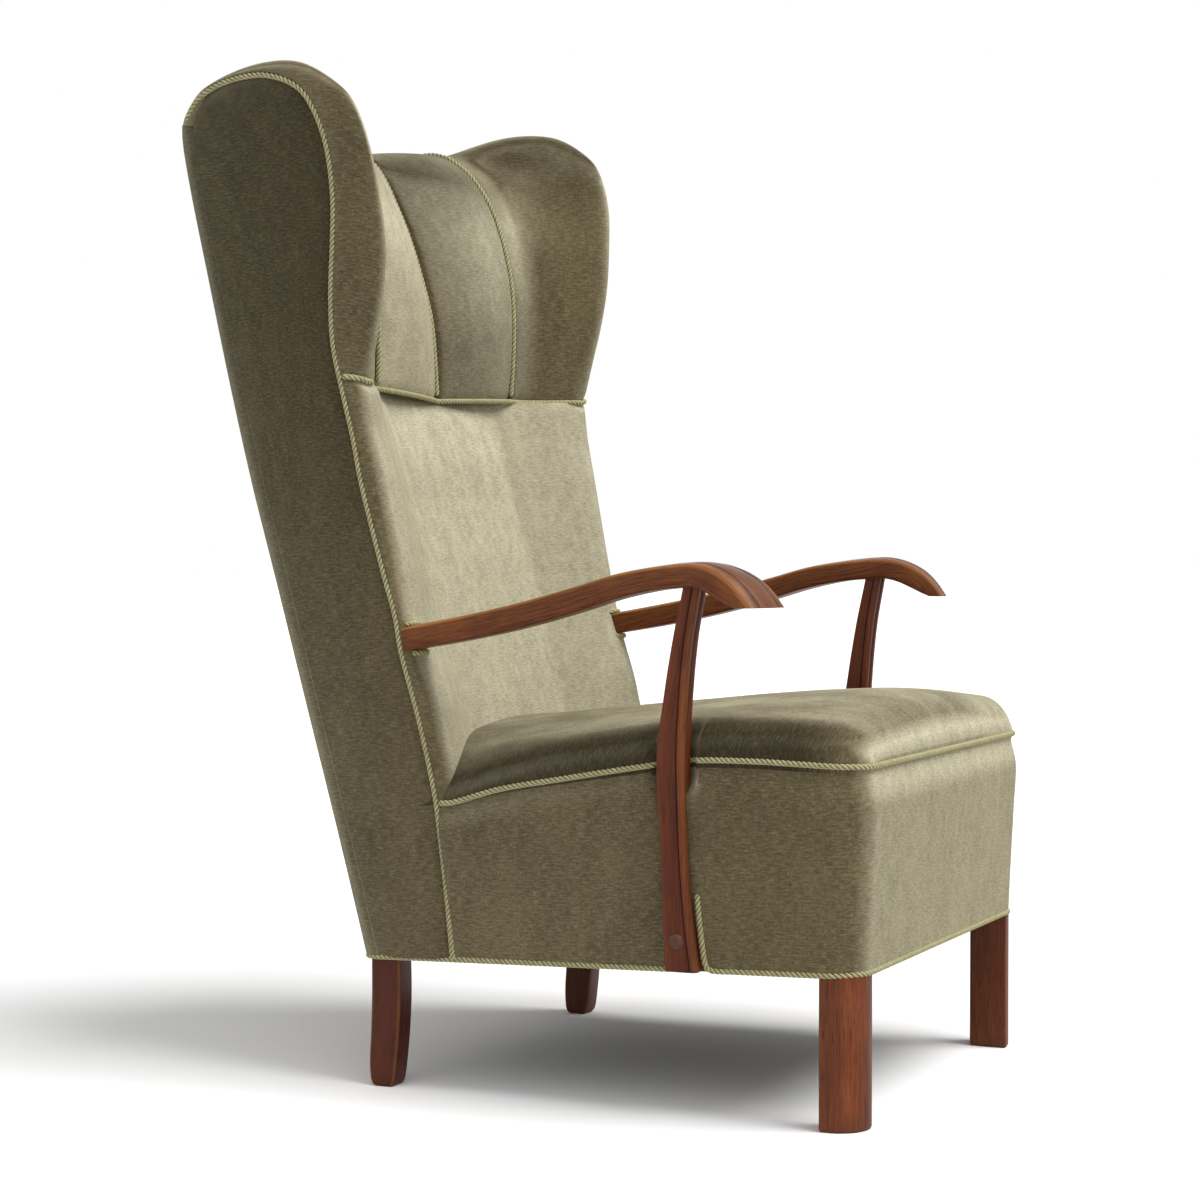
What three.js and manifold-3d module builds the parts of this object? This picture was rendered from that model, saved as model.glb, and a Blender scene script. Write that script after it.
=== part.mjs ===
// High-backed fireside chair: wings, sprung seat, open wooden arms.
// Millimetres, +Z up. The chair faces -Y, the sitter's left is +X, and the
// floor under the middle of the chair is the origin.

import * as THREE from 'three';
import { mergeVertices } from 'three/addons/utils/BufferGeometryUtils.js';
import Module from 'manifold-3d';

const wasm = await Module();
wasm.setup();

// Overall sizes
const overallHeight = 1120;
const overallDepth = 800;
const clearance = 0.3;
const overrun = 6;

// Upholstery of the back
const sideHalfWidth = 275;
const sideFlare = 56;
const coverThickness = 5;
const rearCornerRadius = 25;
const channelBulge = 17;

// Seat
const seatFrontHalfWidth = 284;
const seatCornerRadius = 42;
const skirtFrontHeight = 158;
const skirtRearHeight = 141;
const borderThickness = 12;
const borderUpperThickness = 17;
const edgeRise = 38;
const edgeFalloff = 38;
const canvasThickness = 2;
const seatRearGap = 10;

// Piping
const cordRadius = 3;
const cordRiseHeight = 80;
const lowerCordInset = 8.4;
const tuckStep = 9;

// Frame timber
const railThickness = 24;
const railDrop = 43;
const postWidth = 30;
const postDepth = 45;
const wingBoardThickness = 20;
const boardSetback = 30;
const topRailHeight = 62;
const backRailHeight = 48;
const lowRailRise = 45;
const blockSize = 46;
const blockInset = 10;

// Legs
const frontLegWidth = 41;
const frontLegDepth = 44;
const frontLegRadius = 33;
const legInset = 5;
const rearLegInset = 10.5;
const legFootEdge = 2;

// Arms
const armPostThickness = 27;
const postBeadRadius = 6.6;
const boltHeadRadius = 8.5;
const boltHeadHeight = 3;
const boltShankRadius = 4;
const boltRise = 31.5;
const armGrooveDepth = 2.4;
const tongueWidth = 22;
const tongueHeight = 18;
const tongueInset = 4.5;
const screwRadius = 4;
const screwHeadRadius = 8;
const screwHeadDepth = 5;
const screwGrip = 40;
const screwInset = 6;

// Springs and webbing
const springRadius = 40;
const springWaist = 27;
const springWireRadius = 2;
const springSpacingX = 150;
const webWidth = 50;
const webThickness = 1.4;
const dustCoverThickness = 1;

// Single shares
const fluteShare = 0.56;
const noseShare = 0.92;
const concaveStartShare = 0.43;
const cordSinkShare = 0.5;
const pipingEndShare = 0.45;
const collarEndShare = 0.982;
const postTopShare = 0.9465;
const topRailShare = 0.9144;
const middleRailShare = 0.7054;
const canvasShare = 0.268;
const stumpRoundShare = 0.9;
const armPostTopShare = 0.5064;
const edgeShare = 0.125;
const boltCrownShare = 0.6;
const pawStartShare = 0.15;
const pawSpanShare = 0.077;
const seatSeamDepthShare = 0.09;
const springMiddleShare = -0.135;
const springSpacingShare = 0.185;
const bulgePower = 0.8;
const beadAngles = [0, 40, 90, 135, 160];

// Counts of pieces, turns and facets
const cordSides = 6;
const wireSides = 4;
const screwSides = 10;
const boltSides = 12;
const springTurns = 3;
const springSteps = 8;
const springColumns = [-1, 0, 1];
const uprightCount = 3;
const levelCount = 3;
const lowerBackRows = 7;
const backLevelCount = 14;
const boardRowCount = 9;
const panelSteps = 2;
const rearSpaceSteps = 3;
const seatSideSteps = 9;
const seatCornerSteps = 5;
const legCornerSteps = 5;
const cordCornerSteps = 4;
const cordSideSteps = 6;
const cordBehindSteps = 4;
const cordAheadSteps = 3;
const tuckStations = [4, 3, 2, 0, -2, -3, -4];

// Where the grids of the pads have their lines
const legLevelShares = [0, 0.05, 0.2, 0.42, 0.7];
const outerLevelShares = [0, 0.12, 0.25, 0.42, 0.62, 0.8, 0.91, 1];
const channelSpreadShares = [0, 0.05, 0.15, 0.3, 0.5, 0.7, 0.85, 0.95, 1];
const wingSpreadShares = [0, 0.3, 0.52, 0.7, 0.85, 1];
const rollSpreadShares = [0.25, 0.5, 0.7, 0.88, 0.97, 1];
const headPipeShares = [0, 0.14, 0.28, 0.42, 0.56, 0.65, 0.74, 0.83];
const lowerSpreadShares = [0, 0.22, 0.42, 0.56, 0.68, 0.8];
const outerArcShares = [0, 0.25, 0.5, 0.75, 1];
const outerSpreadShares = [0.8, 0.6, 0.4, 0.2, 0];
const seatSpreadShares = [0, 0.012, 0.035, 0.07, 0.125, 0.22, 0.38, 0.64, 1];
const seatDepthShares = [
  0, 0.005, 0.016, 0.034, 0.058, 0.09, 0.14, 0.22, 0.34, 0.48, 0.64, 0.82, 1,
];
const risingCordShares = [1, 0.66, 0.33, 0.15];

// Outlines of the head of the back, side view, front foot to rear top.
// Each pair is depth and height, as shares of overallDepth and overallHeight.
const centreShares = [
  [0.291, 0.6828], [0.295, 0.7279], [0.302, 0.7721], [0.320, 0.8192], [0.340, 0.8603], [0.360, 0.8924],
  [0.379, 0.9195], [0.398, 0.9375], [0.421, 0.948], [0.450, 0.947], [0.471, 0.932], [0.481, 0.9149],
];
const fluteShares = [
  [0.274, 0.6888], [0.271, 0.734], [0.271, 0.7781], [0.277, 0.8212], [0.291, 0.8623], [0.310, 0.8984],
  [0.335, 0.928], [0.365, 0.9505], [0.402, 0.9666], [0.440, 0.9691], [0.470, 0.9556], [0.484, 0.9325],
];
const noseShares = [
  [0.214, 0.6908], [0.200, 0.734], [0.186, 0.7781], [0.1785, 0.8212], [0.180, 0.8663], [0.187, 0.9129],
  [0.204, 0.9515], [0.231, 0.9756], [0.2895, 0.9987], [0.3625, 1], [0.4325, 0.9821], [0.4795, 0.954],
];
const headSeamShares = [
  [0.239, 0.6949], [0.246, 0.734], [0.245, 0.7781], [0.239, 0.8232], [0.235, 0.8663], [0.240, 0.9124],
  [0.255, 0.9475], [0.278, 0.9726], [0.316, 0.9866], [0.362, 0.9896], [0.420, 0.9766], [0.470, 0.9465],
];
// At each point of the outlines: how much of the channel bulge it takes, the share of the
// half-width where the wing has its nose, and how late the wing comes forward to the nose.
const bulgeShares = [0.35, 0.85, 1, 1, 0.95, 0.85, 0.76, 0.55, 0.22, 0.18, 0.12, 0];
const crestShares = [0.92, 0.92, 0.92, 0.925, 0.94, 0.96, 0.962, 0.962, 0.957, 0.926, 0.923, 0.924];
const wingPowers = [3.5, 4.5, 5, 5.5, 5.5, 6.5, 7.5, 7.5, 4.5, 3.2, 2.3, 1.9];

// Upright curves of the back: height share, depth share.
const rearShares = [
  [0.1253, 0.230], [0.2396, 0.272], [0.378, 0.3235], [0.5164, 0.373], [0.5956, 0.401], [0.6959, 0.431],
  [0.8142, 0.462], [0.8743, 0.477], [0.9134, 0.485], [0.9335, 0.4875], [0.9525, 0.4845], [0.9686, 0.470],
];
const seamShares = [
  [0.1273, 0.080], [0.1995, 0.090], [0.2477, 0.098], [0.2858, 0.105], [0.3239, 0.116], [0.363, 0.129],
  [0.4011, 0.144], [0.4301, 0.155], [0.4642, 0.163], [0.4973, 0.176], [0.5465, 0.194], [0.5946, 0.210],
  [0.6327, 0.219], [0.6568, 0.226], [0.6949, 0.239],
];
const lowerCentreShares = [
  [0.2587, 0.119], [0.3038, 0.134], [0.357, 0.153], [0.4111, 0.174], [0.4642, 0.195], [0.5174, 0.216],
  [0.5715, 0.239], [0.6247, 0.260], [0.6828, 0.290],
];
const lowerNoseShares = [
  [0.2587, 0.078], [0.3038, 0.090], [0.3479, 0.105], [0.381, 0.116], [0.4171, 0.133], [0.4572, 0.151],
  [0.5074, 0.165], [0.5535, 0.178], [0.5996, 0.191], [0.6467, 0.206], [0.6908, 0.214],
];

// Seat curves: depth share, height share.
const seatSeamShares = [
  [-0.51, 0.3319], [-0.42, 0.3339], [-0.361, 0.3349], [-0.279, 0.3339], [-0.215, 0.3279],
  [-0.078, 0.3108], [0.011, 0.2988], [0.103, 0.2808], [0.25, 0.2707],
];
const seatCrownShares = [
  [-0.51, 0.377], [-0.462, 0.384], [-0.389, 0.3875], [-0.315, 0.385], [-0.225, 0.380], [-0.134, 0.373],
  [-0.040, 0.366], [0.1, 0.3549], [0.25, 0.3459],
];

// Section of the seat border, foot to seam: how far inward as a share of borderThickness,
// and how far up.
const borderShares = [
  [0.35, 0], [0.12, 0.3], [-0.15, 0.6], [-0.33, 0.83], [0.1, 0.95], [0.3, 1],
];

// Arm stations, rear to front: top depth, top height, underside depth, underside height,
// inner half-width, outer half-width, and how far the outer side lags behind the inner one,
// as shares of overallDepth, overallHeight and sideHalfWidth.
const armShares = [
  [0.158, 0.4512, 0.1525, 0.4291, 0.909, 1.030, 0],
  [0.063, 0.4637, 0.065, 0.4397, 0.916, 1.044, 0],
  [-0.025, 0.4773, -0.022, 0.4527, 0.927, 1.058, 0],
  [-0.112, 0.4933, -0.109, 0.4693, 0.938, 1.080, 0],
  [-0.170, 0.5048, -0.165, 0.4813, 0.945, 1.098, 0],
  [-0.225, 0.5114, -0.222, 0.4898, 0.953, 1.107, 0.0032],
  [-0.272, 0.5149, -0.272, 0.4933, 0.956, 1.121, 0.008],
  [-0.306, 0.5149, -0.298, 0.4938, 0.956, 1.138, 0.0134],
  [-0.335, 0.5099, -0.319, 0.4903, 0.956, 1.151, 0.0181],
  [-0.360, 0.5008, -0.3375, 0.4848, 0.956, 1.160, 0.0209],
  [-0.379, 0.4883, -0.354, 0.4793, 0.956, 1.164, 0.0224],
  [-0.3925, 0.4753, -0.3675, 0.4753, 0.956, 1.164, 0.0224],
];
// Arm post, foot to head: share of the way up, rear depth, front depth.
const armPostShares = [
  [0, -0.239, -0.284], [0.127, -0.236, -0.275], [0.304, -0.2325, -0.268], [0.531, -0.2265, -0.264],
  [0.681, -0.236, -0.2675], [0.831, -0.249, -0.275], [0.954, -0.2625, -0.286], [1, -0.2675, -0.290],
];
// Section of the arm: share across, share up, share of the carving taken off.
const armSectionShares = [
  [0.08, 0, 0], [0.92, 0, 0], [1, 0.22, 0], [1, 0.7, 0], [0.92, 0.93, 0], [0.8, 1, 0.2], [0.765, 1, 1],
  [0.73, 1, 0], [0.5, 1.02, 0], [0.27, 1, 0], [0.235, 1, 1], [0.2, 1, 0.2], [0.08, 0.93, 0], [0, 0.7, 0],
  [0, 0.22, 0],
];
// Rear leg below the upholstery: height, rear depth, front depth.
const rearLegShares = [
  [0, 0.216, 0.187], [0.007, 0.220, 0.183], [0.0271, 0.2215, 0.179], [0.0531, 0.2195, 0.1755],
  [0.0892, 0.218, 0.173], [0.1253, 0.218, 0.1735],
];

// Materials

function finish(colour, roughness) {
  return new THREE.MeshStandardMaterial({ color: colour, roughness, metalness: 0 });
}

const velour = finish(0x7c775a, 0.95);
const cordYarn = finish(0xb0ad79, 0.85);
const oak = finish(0x7a4326, 0.45);
const darkBeech = finish(0x4f1e16, 0.4);
const rawBeech = finish(0xb58a5c, 0.7);
const jute = finish(0x9a8258, 0.95);
const steel = new THREE.MeshStandardMaterial({ color: 0x77726c, roughness: 0.45, metalness: 0.9 });

// Solids

const chair = new THREE.Group();

function addPart(name, geometry, material) {
  const mesh = new THREE.Mesh(geometry, material);
  mesh.name = name;
  chair.add(mesh);
}

// A piece of the left side and its mirror image on the right.
function addPair(name, geometry, material) {
  addPart(`${name}_left`, geometry, material);
  addPart(`${name}_right`, mirrored(geometry), material);
}

function closedGeometry(points, triangles) {
  const positions = new Float32Array(points.flatMap((p) => [p.x, p.y, p.z]));
  let volume = 0;
  for (const [a, b, c] of triangles) {
    volume += points[a].dot(new THREE.Vector3().crossVectors(points[b], points[c]));
  }
  const index = triangles.flatMap(([a, b, c]) => (volume > 0 ? [a, b, c] : [a, c, b]));
  const geometry = new THREE.BufferGeometry();
  geometry.setAttribute('position', new THREE.BufferAttribute(positions, 3));
  geometry.setIndex(index);
  return geometry;
}

// A body between two point grids of equal size, closed round their edges.
function slab(faceGrid, backGrid) {
  const rows = faceGrid.length;
  const columns = faceGrid[0].length;
  const face = (i, j) => i * columns + j;
  const back = (i, j) => rows * columns + i * columns + j;
  const triangles = [];
  const quad = (a, b, c, d, flip) => {
    if (flip) triangles.push([a, b, d], [b, c, d]);
    else triangles.push([a, b, c], [a, c, d]);
  };
  const lastRow = rows - 1;
  const lastColumn = columns - 1;
  for (let i = 0; i < lastRow; i += 1) {
    for (let j = 0; j < lastColumn; j += 1) {
      const flip = 2 * i >= lastRow;
      quad(face(i, j), face(i, j + 1), face(i + 1, j + 1), face(i + 1, j), flip);
      quad(back(i, j), back(i + 1, j), back(i + 1, j + 1), back(i, j + 1), flip);
    }
    quad(face(i, 0), face(i + 1, 0), back(i + 1, 0), back(i, 0));
    const [low, high] = [i, i + 1];
    quad(face(low, lastColumn), back(low, lastColumn), back(high, lastColumn), face(high, lastColumn));
  }
  for (let j = 0; j < lastColumn; j += 1) {
    quad(face(0, j), back(0, j), back(0, j + 1), face(0, j + 1));
    quad(face(lastRow, j), face(lastRow, j + 1), back(lastRow, j + 1), back(lastRow, j));
  }
  return closedGeometry([...faceGrid.flat(), ...backGrid.flat()], triangles);
}

const planeOf = {
  x: (p) => new THREE.Vector2(p.y, p.z),
  y: (p) => new THREE.Vector2(p.z, p.x),
  z: (p) => new THREE.Vector2(p.x, p.y),
};

// A body through closed rings of equal count, capped by polygons seen along the cap axes.
function loft(rings, startAxis, endAxis = startAxis) {
  const count = rings[0].length;
  const triangles = [];
  for (let k = 0; k < rings.length - 1; k += 1) {
    for (let i = 0; i < count; i += 1) {
      const a = k * count + i;
      const b = k * count + ((i + 1) % count);
      triangles.push([a, b, b + count], [a, b + count, a + count]);
    }
  }
  const cap = (ring, axis) => {
    const flat = ring.map(planeOf[axis]);
    const turn = Math.sign(THREE.ShapeUtils.area(flat));
    return THREE.ShapeUtils.triangulateShape(flat, []).map((t) => {
      const same = Math.sign(THREE.ShapeUtils.area(t.map((i) => flat[i]))) === turn;
      return same ? t : [t[0], t[2], t[1]];
    });
  };
  const last = (rings.length - 1) * count;
  for (const [a, b, c] of cap(rings[0], startAxis)) triangles.push([a, c, b]);
  for (const t of cap(rings[rings.length - 1], endAxis)) triangles.push(t.map((i) => last + i));
  return closedGeometry(rings.flat(), triangles);
}

// A round bar of constant radius through every point given, ends closed flat.
function bar(points, radius, sides) {
  const along = points.map((p, i) => {
    const before = points[Math.max(i - 1, 0)];
    const after = points[Math.min(i + 1, points.length - 1)];
    return new THREE.Vector3().subVectors(after, before).normalize();
  });
  const steep = Math.abs(along[0].z) > Math.SQRT1_2;
  let normal = steep ? new THREE.Vector3(1, 0, 0) : new THREE.Vector3(0, 0, 1);
  const rings = points.map((p, i) => {
    normal = normal.clone().addScaledVector(along[i], -normal.dot(along[i])).normalize();
    const other = new THREE.Vector3().crossVectors(along[i], normal);
    return Array.from({ length: sides }, (_, k) => {
      const angle = (2 * Math.PI * k) / sides;
      return p.clone().addScaledVector(normal, radius * Math.cos(angle))
        .addScaledVector(other, radius * Math.sin(angle));
    });
  });
  const triangles = [];
  for (let k = 0; k < rings.length - 1; k += 1) {
    for (let i = 0; i < sides; i += 1) {
      const a = k * sides + i;
      const b = k * sides + ((i + 1) % sides);
      triangles.push([a, b, b + sides], [a, b + sides, a + sides]);
    }
  }
  const last = (rings.length - 1) * sides;
  for (let i = 1; i < sides - 1; i += 1) triangles.push([0, i + 1, i], [last, last + i, last + i + 1]);
  return closedGeometry(rings.flat(), triangles);
}

const cord = (path) => bar(path, cordRadius, cordSides);
const cordSpace = (path) => bar(path, (cordRadius + clearance) / Math.cos(Math.PI / cordSides), cordSides);

function toSolid(geometry) {
  const bare = geometry.clone();
  bare.deleteAttribute('normal');
  bare.deleteAttribute('uv');
  const merged = mergeVertices(bare);
  return new wasm.Manifold(new wasm.Mesh({
    numProp: 3,
    vertProperties: new Float32Array(merged.attributes.position.array),
    triVerts: new Uint32Array(merged.index.array),
  }));
}

function fromSolid(solid) {
  const { vertProperties, triVerts } = solid.getMesh();
  const geometry = new THREE.BufferGeometry();
  geometry.setAttribute('position', new THREE.BufferAttribute(new Float32Array(vertProperties), 3));
  geometry.setIndex(Array.from(triVerts));
  return geometry;
}

// What is left of a piece when the cutters are taken away, without loose shavings.
function cut(geometry, ...cutters) {
  const left = cutters.reduce((body, cutter) => body.subtract(toSolid(cutter)), toSolid(geometry));
  return fromSolid(left.decompose().reduce((a, b) => (b.volume() > a.volume() ? b : a)));
}

function join(...geometries) {
  return fromSolid(geometries.map(toSolid).reduce((body, other) => body.add(other)));
}

function mirrored(geometry) {
  const copy = geometry.clone().scale(-1, 1, 1);
  const index = Array.from(copy.index.array);
  for (let i = 0; i < index.length; i += 3) [index[i + 1], index[i + 2]] = [index[i + 2], index[i + 1]];
  return copy.setIndex(index);
}

// A straight-sided block given by its footprint and two height functions of depth.
function block(footprint, lowZ, highZ) {
  const ring = (height) => footprint.map(([x, y]) => new THREE.Vector3(x, y, height(y)));
  return loft([ring(lowZ), ring(highZ)], 'z');
}

// A turned piece standing on +Y: pairs of radius and station.
function turned(pairs, segments) {
  return new THREE.LatheGeometry(pairs.map(([r, h]) => new THREE.Vector2(r, h)), segments);
}

// Curves

const lerp = THREE.MathUtils.lerp;
const smooth = (t) => THREE.MathUtils.smoothstep(t, 0, 1);
const clamp01 = (t) => THREE.MathUtils.clamp(t, 0, 1);
const spread = (count) => Array.from({ length: count + 1 }, (_, i) => i / count);

// A smooth function through pairs, which may be shares of an argument size and a value size.
function curveThrough(shares, argumentSize = 1, valueSize = 1) {
  const known = shares.map(([a, v]) => [a * argumentSize, v * valueSize]);
  const lastIndex = known.length - 1;
  const slope = (i) => {
    const before = known[Math.max(i - 1, 0)];
    const after = known[Math.min(i + 1, lastIndex)];
    return (after[1] - before[1]) / (after[0] - before[0]);
  };
  return (argument) => {
    const inside = THREE.MathUtils.clamp(argument, known[0][0], known[lastIndex][0]);
    let i = known.findIndex(([a]) => a > inside) - 1;
    if (i < 0) i = lastIndex - 1;
    const [a0, v0] = known[i];
    const [a1, v1] = known[i + 1];
    const span = a1 - a0;
    const t = (inside - a0) / span;
    const hermite = (2 * t ** 3 - 3 * t ** 2 + 1) * v0 + (t ** 3 - 2 * t ** 2 + t) * span * slope(i)
      + (3 * t ** 2 - 2 * t ** 3) * v1 + (t ** 3 - t ** 2) * span * slope(i + 1);
    return hermite + (argument - inside) * slope(argument < inside ? 0 : lastIndex);
  };
}

const rearY = curveThrough(rearShares, overallHeight, overallDepth);
const seamY = curveThrough(seamShares, overallHeight, overallDepth);
const lowerCentreY = curveThrough(lowerCentreShares, overallHeight, overallDepth);
const lowerNoseY = curveThrough(lowerNoseShares, overallHeight, overallDepth);
const seatSeamZ = curveThrough(seatSeamShares, overallDepth, overallHeight);
const seatCrownZ = curveThrough(seatCrownShares, overallDepth, overallHeight);

const lastOf = (list) => list[list.length - 1];
const seatSeamY = overallDepth * seatSeamDepthShare;
const seamGap = cordRadius + clearance;
const seatFrontY = -overallDepth / 2 - cordRadius;
const rearFootY = rearY(skirtRearHeight);
const skirtZ = (y) => lerp(skirtFrontHeight, skirtRearHeight, (y - seatFrontY) / (rearFootY - seatFrontY));
const bottomCordZ = (y) => skirtZ(y) + cordRadius;
const coverFoot = (y) => skirtZ(y) + 2 * cordRadius + clearance;
const canvasHeight = overallHeight * canvasShare;
const railHeight = canvasHeight - railDrop - skirtFrontHeight - cordRadius;
const railFoot = bottomCordZ;
const railTop = (y) => railFoot(y) + railHeight;

// Half-width of the upholstery at a height, widening towards the top of the wings.
function sideX(z) {
  const rise = Math.max(z - skirtRearHeight, 0) / (overallHeight - skirtRearHeight);
  return sideHalfWidth + sideFlare * rise ** 2;
}

function seatHalf(y) {
  const t = clamp01((y - seatFrontY) / (seatSeamY - seatFrontY));
  return lerp(seatFrontHalfWidth, sideX(seatSeamZ(seatSeamY)), t);
}

function outline(shares) {
  return shares.map(([y, z]) => new THREE.Vector2(y * overallDepth, z * overallHeight));
}

const centreOutline = outline(centreShares);
const fluteOutline = outline(fluteShares);
const noseOutline = outline(noseShares);
const headSeamOutline = outline(headSeamShares);

// Outward direction of a side-view outline at one of its points.
function outward(points, i) {
  const before = points[Math.max(i - 1, 0)];
  const after = points[Math.min(i + 1, points.length - 1)];
  const along = new THREE.Vector2().subVectors(after, before).normalize();
  return new THREE.Vector2(-along.y, along.x);
}

// Side-view outline of the head of the back at a share of its half-width.
function headOutline(share) {
  return centreOutline.map((centre, i) => {
    const flute = fluteOutline[i];
    const nose = noseOutline[i];
    const crest = crestShares[i];
    if (share <= fluteShare) {
      const t = share / fluteShare;
      const bulge = channelBulge * bulgeShares[i] * Math.sin(Math.PI * t) ** bulgePower;
      return centre.clone().lerp(flute, t).addScaledVector(outward(centreOutline, i), bulge);
    }
    if (share <= crest) {
      const t = (share - fluteShare) / (crest - fluteShare);
      return flute.clone().lerp(nose, Math.sin((Math.PI * t) / 2) ** wingPowers[i]);
    }
    const t = (share - crest) / (1 - crest);
    return headSeamOutline[i].clone().lerp(nose, Math.sqrt(1 - t * t));
  });
}

const placeShare = (share, p) => new THREE.Vector3(share * sideX(p.y), p.x, p.y);

// Frame of the back

const topRailTop = overallHeight * topRailShare;
const middleRailTop = overallHeight * middleRailShare;
const lowRailTop = canvasHeight + lowRailRise;
const backLevels = spread(backLevelCount).map((t) => lerp(skirtRearHeight, topRailTop + clearance, t));

// The rear line as the straight runs between the levels that every piece of the frame shares.
function frameY(z) {
  const i = backLevels.findIndex((level) => level >= z);
  if (i <= 0) return rearY(z);
  const t = (z - backLevels[i - 1]) / (backLevels[i] - backLevels[i - 1]);
  return lerp(rearY(backLevels[i - 1]), rearY(backLevels[i]), t);
}

// Heights from one to another with every shared level between them.
function levelsBetween(low, high) {
  return [low, ...backLevels.filter((z) => z > low + clearance && z < high - clearance), high];
}

const frameRear = coverThickness + clearance;
const frameFront = frameRear + postDepth;
const padRear = frameFront + webThickness + 2 * clearance;
const coverInset = coverThickness + 2 * clearance;
const frameInset = coverThickness + 3 * clearance;
const postTopZ = overallHeight * postTopShare;
const seatRearY = frameY(canvasHeight) - frameFront - seatRearGap;
const legRearY = curveThrough(rearLegShares.map(([h, r]) => [h, r]), overallHeight, overallDepth);
const legFrontY = curveThrough(rearLegShares.map(([h, , f]) => [h, f]), overallHeight, overallDepth);
const settle = (z) => smooth((z - skirtRearHeight) / (2 * railHeight));
const postOuterX = (z) => sideX(z) - lerp(rearLegInset, frameInset, settle(z));
const postFrontY = (z) => lerp(legFrontY(Math.min(z, skirtRearHeight)), frameY(z) - frameFront, settle(z));
const postRearY = (z) => lerp(legRearY(Math.min(z, skirtRearHeight)), frameY(z) - frameRear, settle(z));

function backPost(grow) {
  const legLevels = legLevelShares.map((share) => share * skirtRearHeight);
  const rings = [...legLevels, ...levelsBetween(skirtRearHeight, postTopZ + grow)].map((z) => {
    const outer = postOuterX(z) + grow;
    const inner = postOuterX(z) - postWidth - grow;
    const front = postFrontY(z) - grow;
    const rear = postRearY(z) + grow;
    const edge = postWidth * edgeShare;
    const corner = lerp(edge, postWidth / 2, settle(z));
    return [
      new THREE.Vector3(inner, front, z), new THREE.Vector3(outer - edge, front, z),
      new THREE.Vector3(outer, front + edge, z), new THREE.Vector3(outer, rear - corner, z),
      new THREE.Vector3(outer - corner, rear, z), new THREE.Vector3(inner, rear, z),
    ];
  });
  return loft(rings, 'z');
}

// Wing board: a plank in front of the upright, cut to the outline of the wing. The space
// for it reaches out through the side of the pads.
function wingBoard(grow) {
  const edge = noseOutline.slice(0, boardRowCount).map((p, i) => (
    p.clone().addScaledVector(outward(noseOutline, i), -boardSetback)
  ));
  const footZ = edge[0].y - blockSize;
  const foot = new THREE.Vector2(frameY(footZ) - frameFront - wingBoardThickness, footZ);
  const rings = [foot, ...edge].map((p, i) => {
    const z = p.y + (i === 0 ? -grow : 0) + (i === edge.length ? grow : 0);
    const rear = frameY(Math.min(z, postTopZ)) - frameFront - clearance + grow;
    const outer = sideX(z) - (grow > 0 ? coverThickness - grow : frameInset);
    const inner = sideX(z) - frameInset - wingBoardThickness - grow;
    return [
      new THREE.Vector3(inner, p.x - grow, z), new THREE.Vector3(outer, p.x - grow, z),
      new THREE.Vector3(outer, rear, z), new THREE.Vector3(inner, rear, z),
    ];
  });
  return loft(rings, 'z');
}

// The space behind the pads, which the rails and the webbing take.
function backHollow() {
  const rings = backLevels.map((z) => {
    const half = sideX(z) - coverInset;
    const front = rearY(z) - padRear;
    const rear = rearY(z) + overrun;
    return [
      new THREE.Vector3(-half, front, z), new THREE.Vector3(half, front, z),
      new THREE.Vector3(half, rear, z), new THREE.Vector3(-half, rear, z),
    ];
  });
  return loft(rings, 'z');
}

function backRail(topZ, height) {
  const rings = levelsBetween(topZ - height, topZ).map((z) => {
    const half = postOuterX(z) - postWidth - clearance;
    const front = frameY(z) - frameFront;
    const rear = front + railThickness;
    return [
      new THREE.Vector3(-half, front, z), new THREE.Vector3(half, front, z),
      new THREE.Vector3(half, rear, z), new THREE.Vector3(-half, rear, z),
    ];
  });
  return cut(loft(rings, 'z'), postSpace, mirrored(postSpace));
}

const postSpace = backPost(clearance);
const boardSpace = wingBoard(clearance);
const hollow = backHollow();

// Webbing of the back: upright and level bands on the front of the rails.
function backWebbing() {
  const lowZ = lowRailTop - backRailHeight / 2;
  const highZ = topRailTop - topRailHeight / 2;
  const band = (lowX, highX, fromZ, toZ) => {
    const rings = levelsBetween(fromZ, toZ).map((z) => {
      const rear = frameY(z) - frameFront - clearance;
      const low = lowX(z);
      const high = highX(z);
      return [
        new THREE.Vector3(low, rear - webThickness, z), new THREE.Vector3(high, rear - webThickness, z),
        new THREE.Vector3(high, rear, z), new THREE.Vector3(low, rear, z),
      ];
    });
    return loft(rings, 'z');
  };
  const stepX = (uprightCount - 1) / 2;
  const uprights = Array.from({ length: uprightCount }, (_, i) => {
    const centre = ((i - stepX) / stepX) * (sideHalfWidth - postWidth - webWidth);
    return band(() => centre - webWidth / 2, () => centre + webWidth / 2, lowZ, highZ);
  });
  const reach = (z) => postOuterX(z) - postWidth / 2;
  const levels = Array.from({ length: levelCount }, (_, i) => {
    const centre = lerp(lowZ, highZ, (i + 1) / (levelCount + 1));
    return band((z) => -reach(z), reach, centre - webWidth / 2, centre + webWidth / 2);
  });
  return join(...uprights, ...levels);
}

// Rear line of a pad across its width: it draws in behind the side cover.
function padBackX(share, z) {
  const wide = Math.abs(share);
  const drawn = 2 * coverInset * smooth((wide - noseShare) / (1 - noseShare));
  return Math.sign(share) * (wide * sideX(z) - drawn);
}

// Height of the cord between the head and the lower back at a share of the half-width.
function headFootZ(share) {
  if (share <= noseShare) return headOutline(share)[0].y;
  return lerp(noseOutline[0].y, headSeamOutline[0].y, (share - noseShare) / (1 - noseShare));
}

// Head pads

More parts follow.
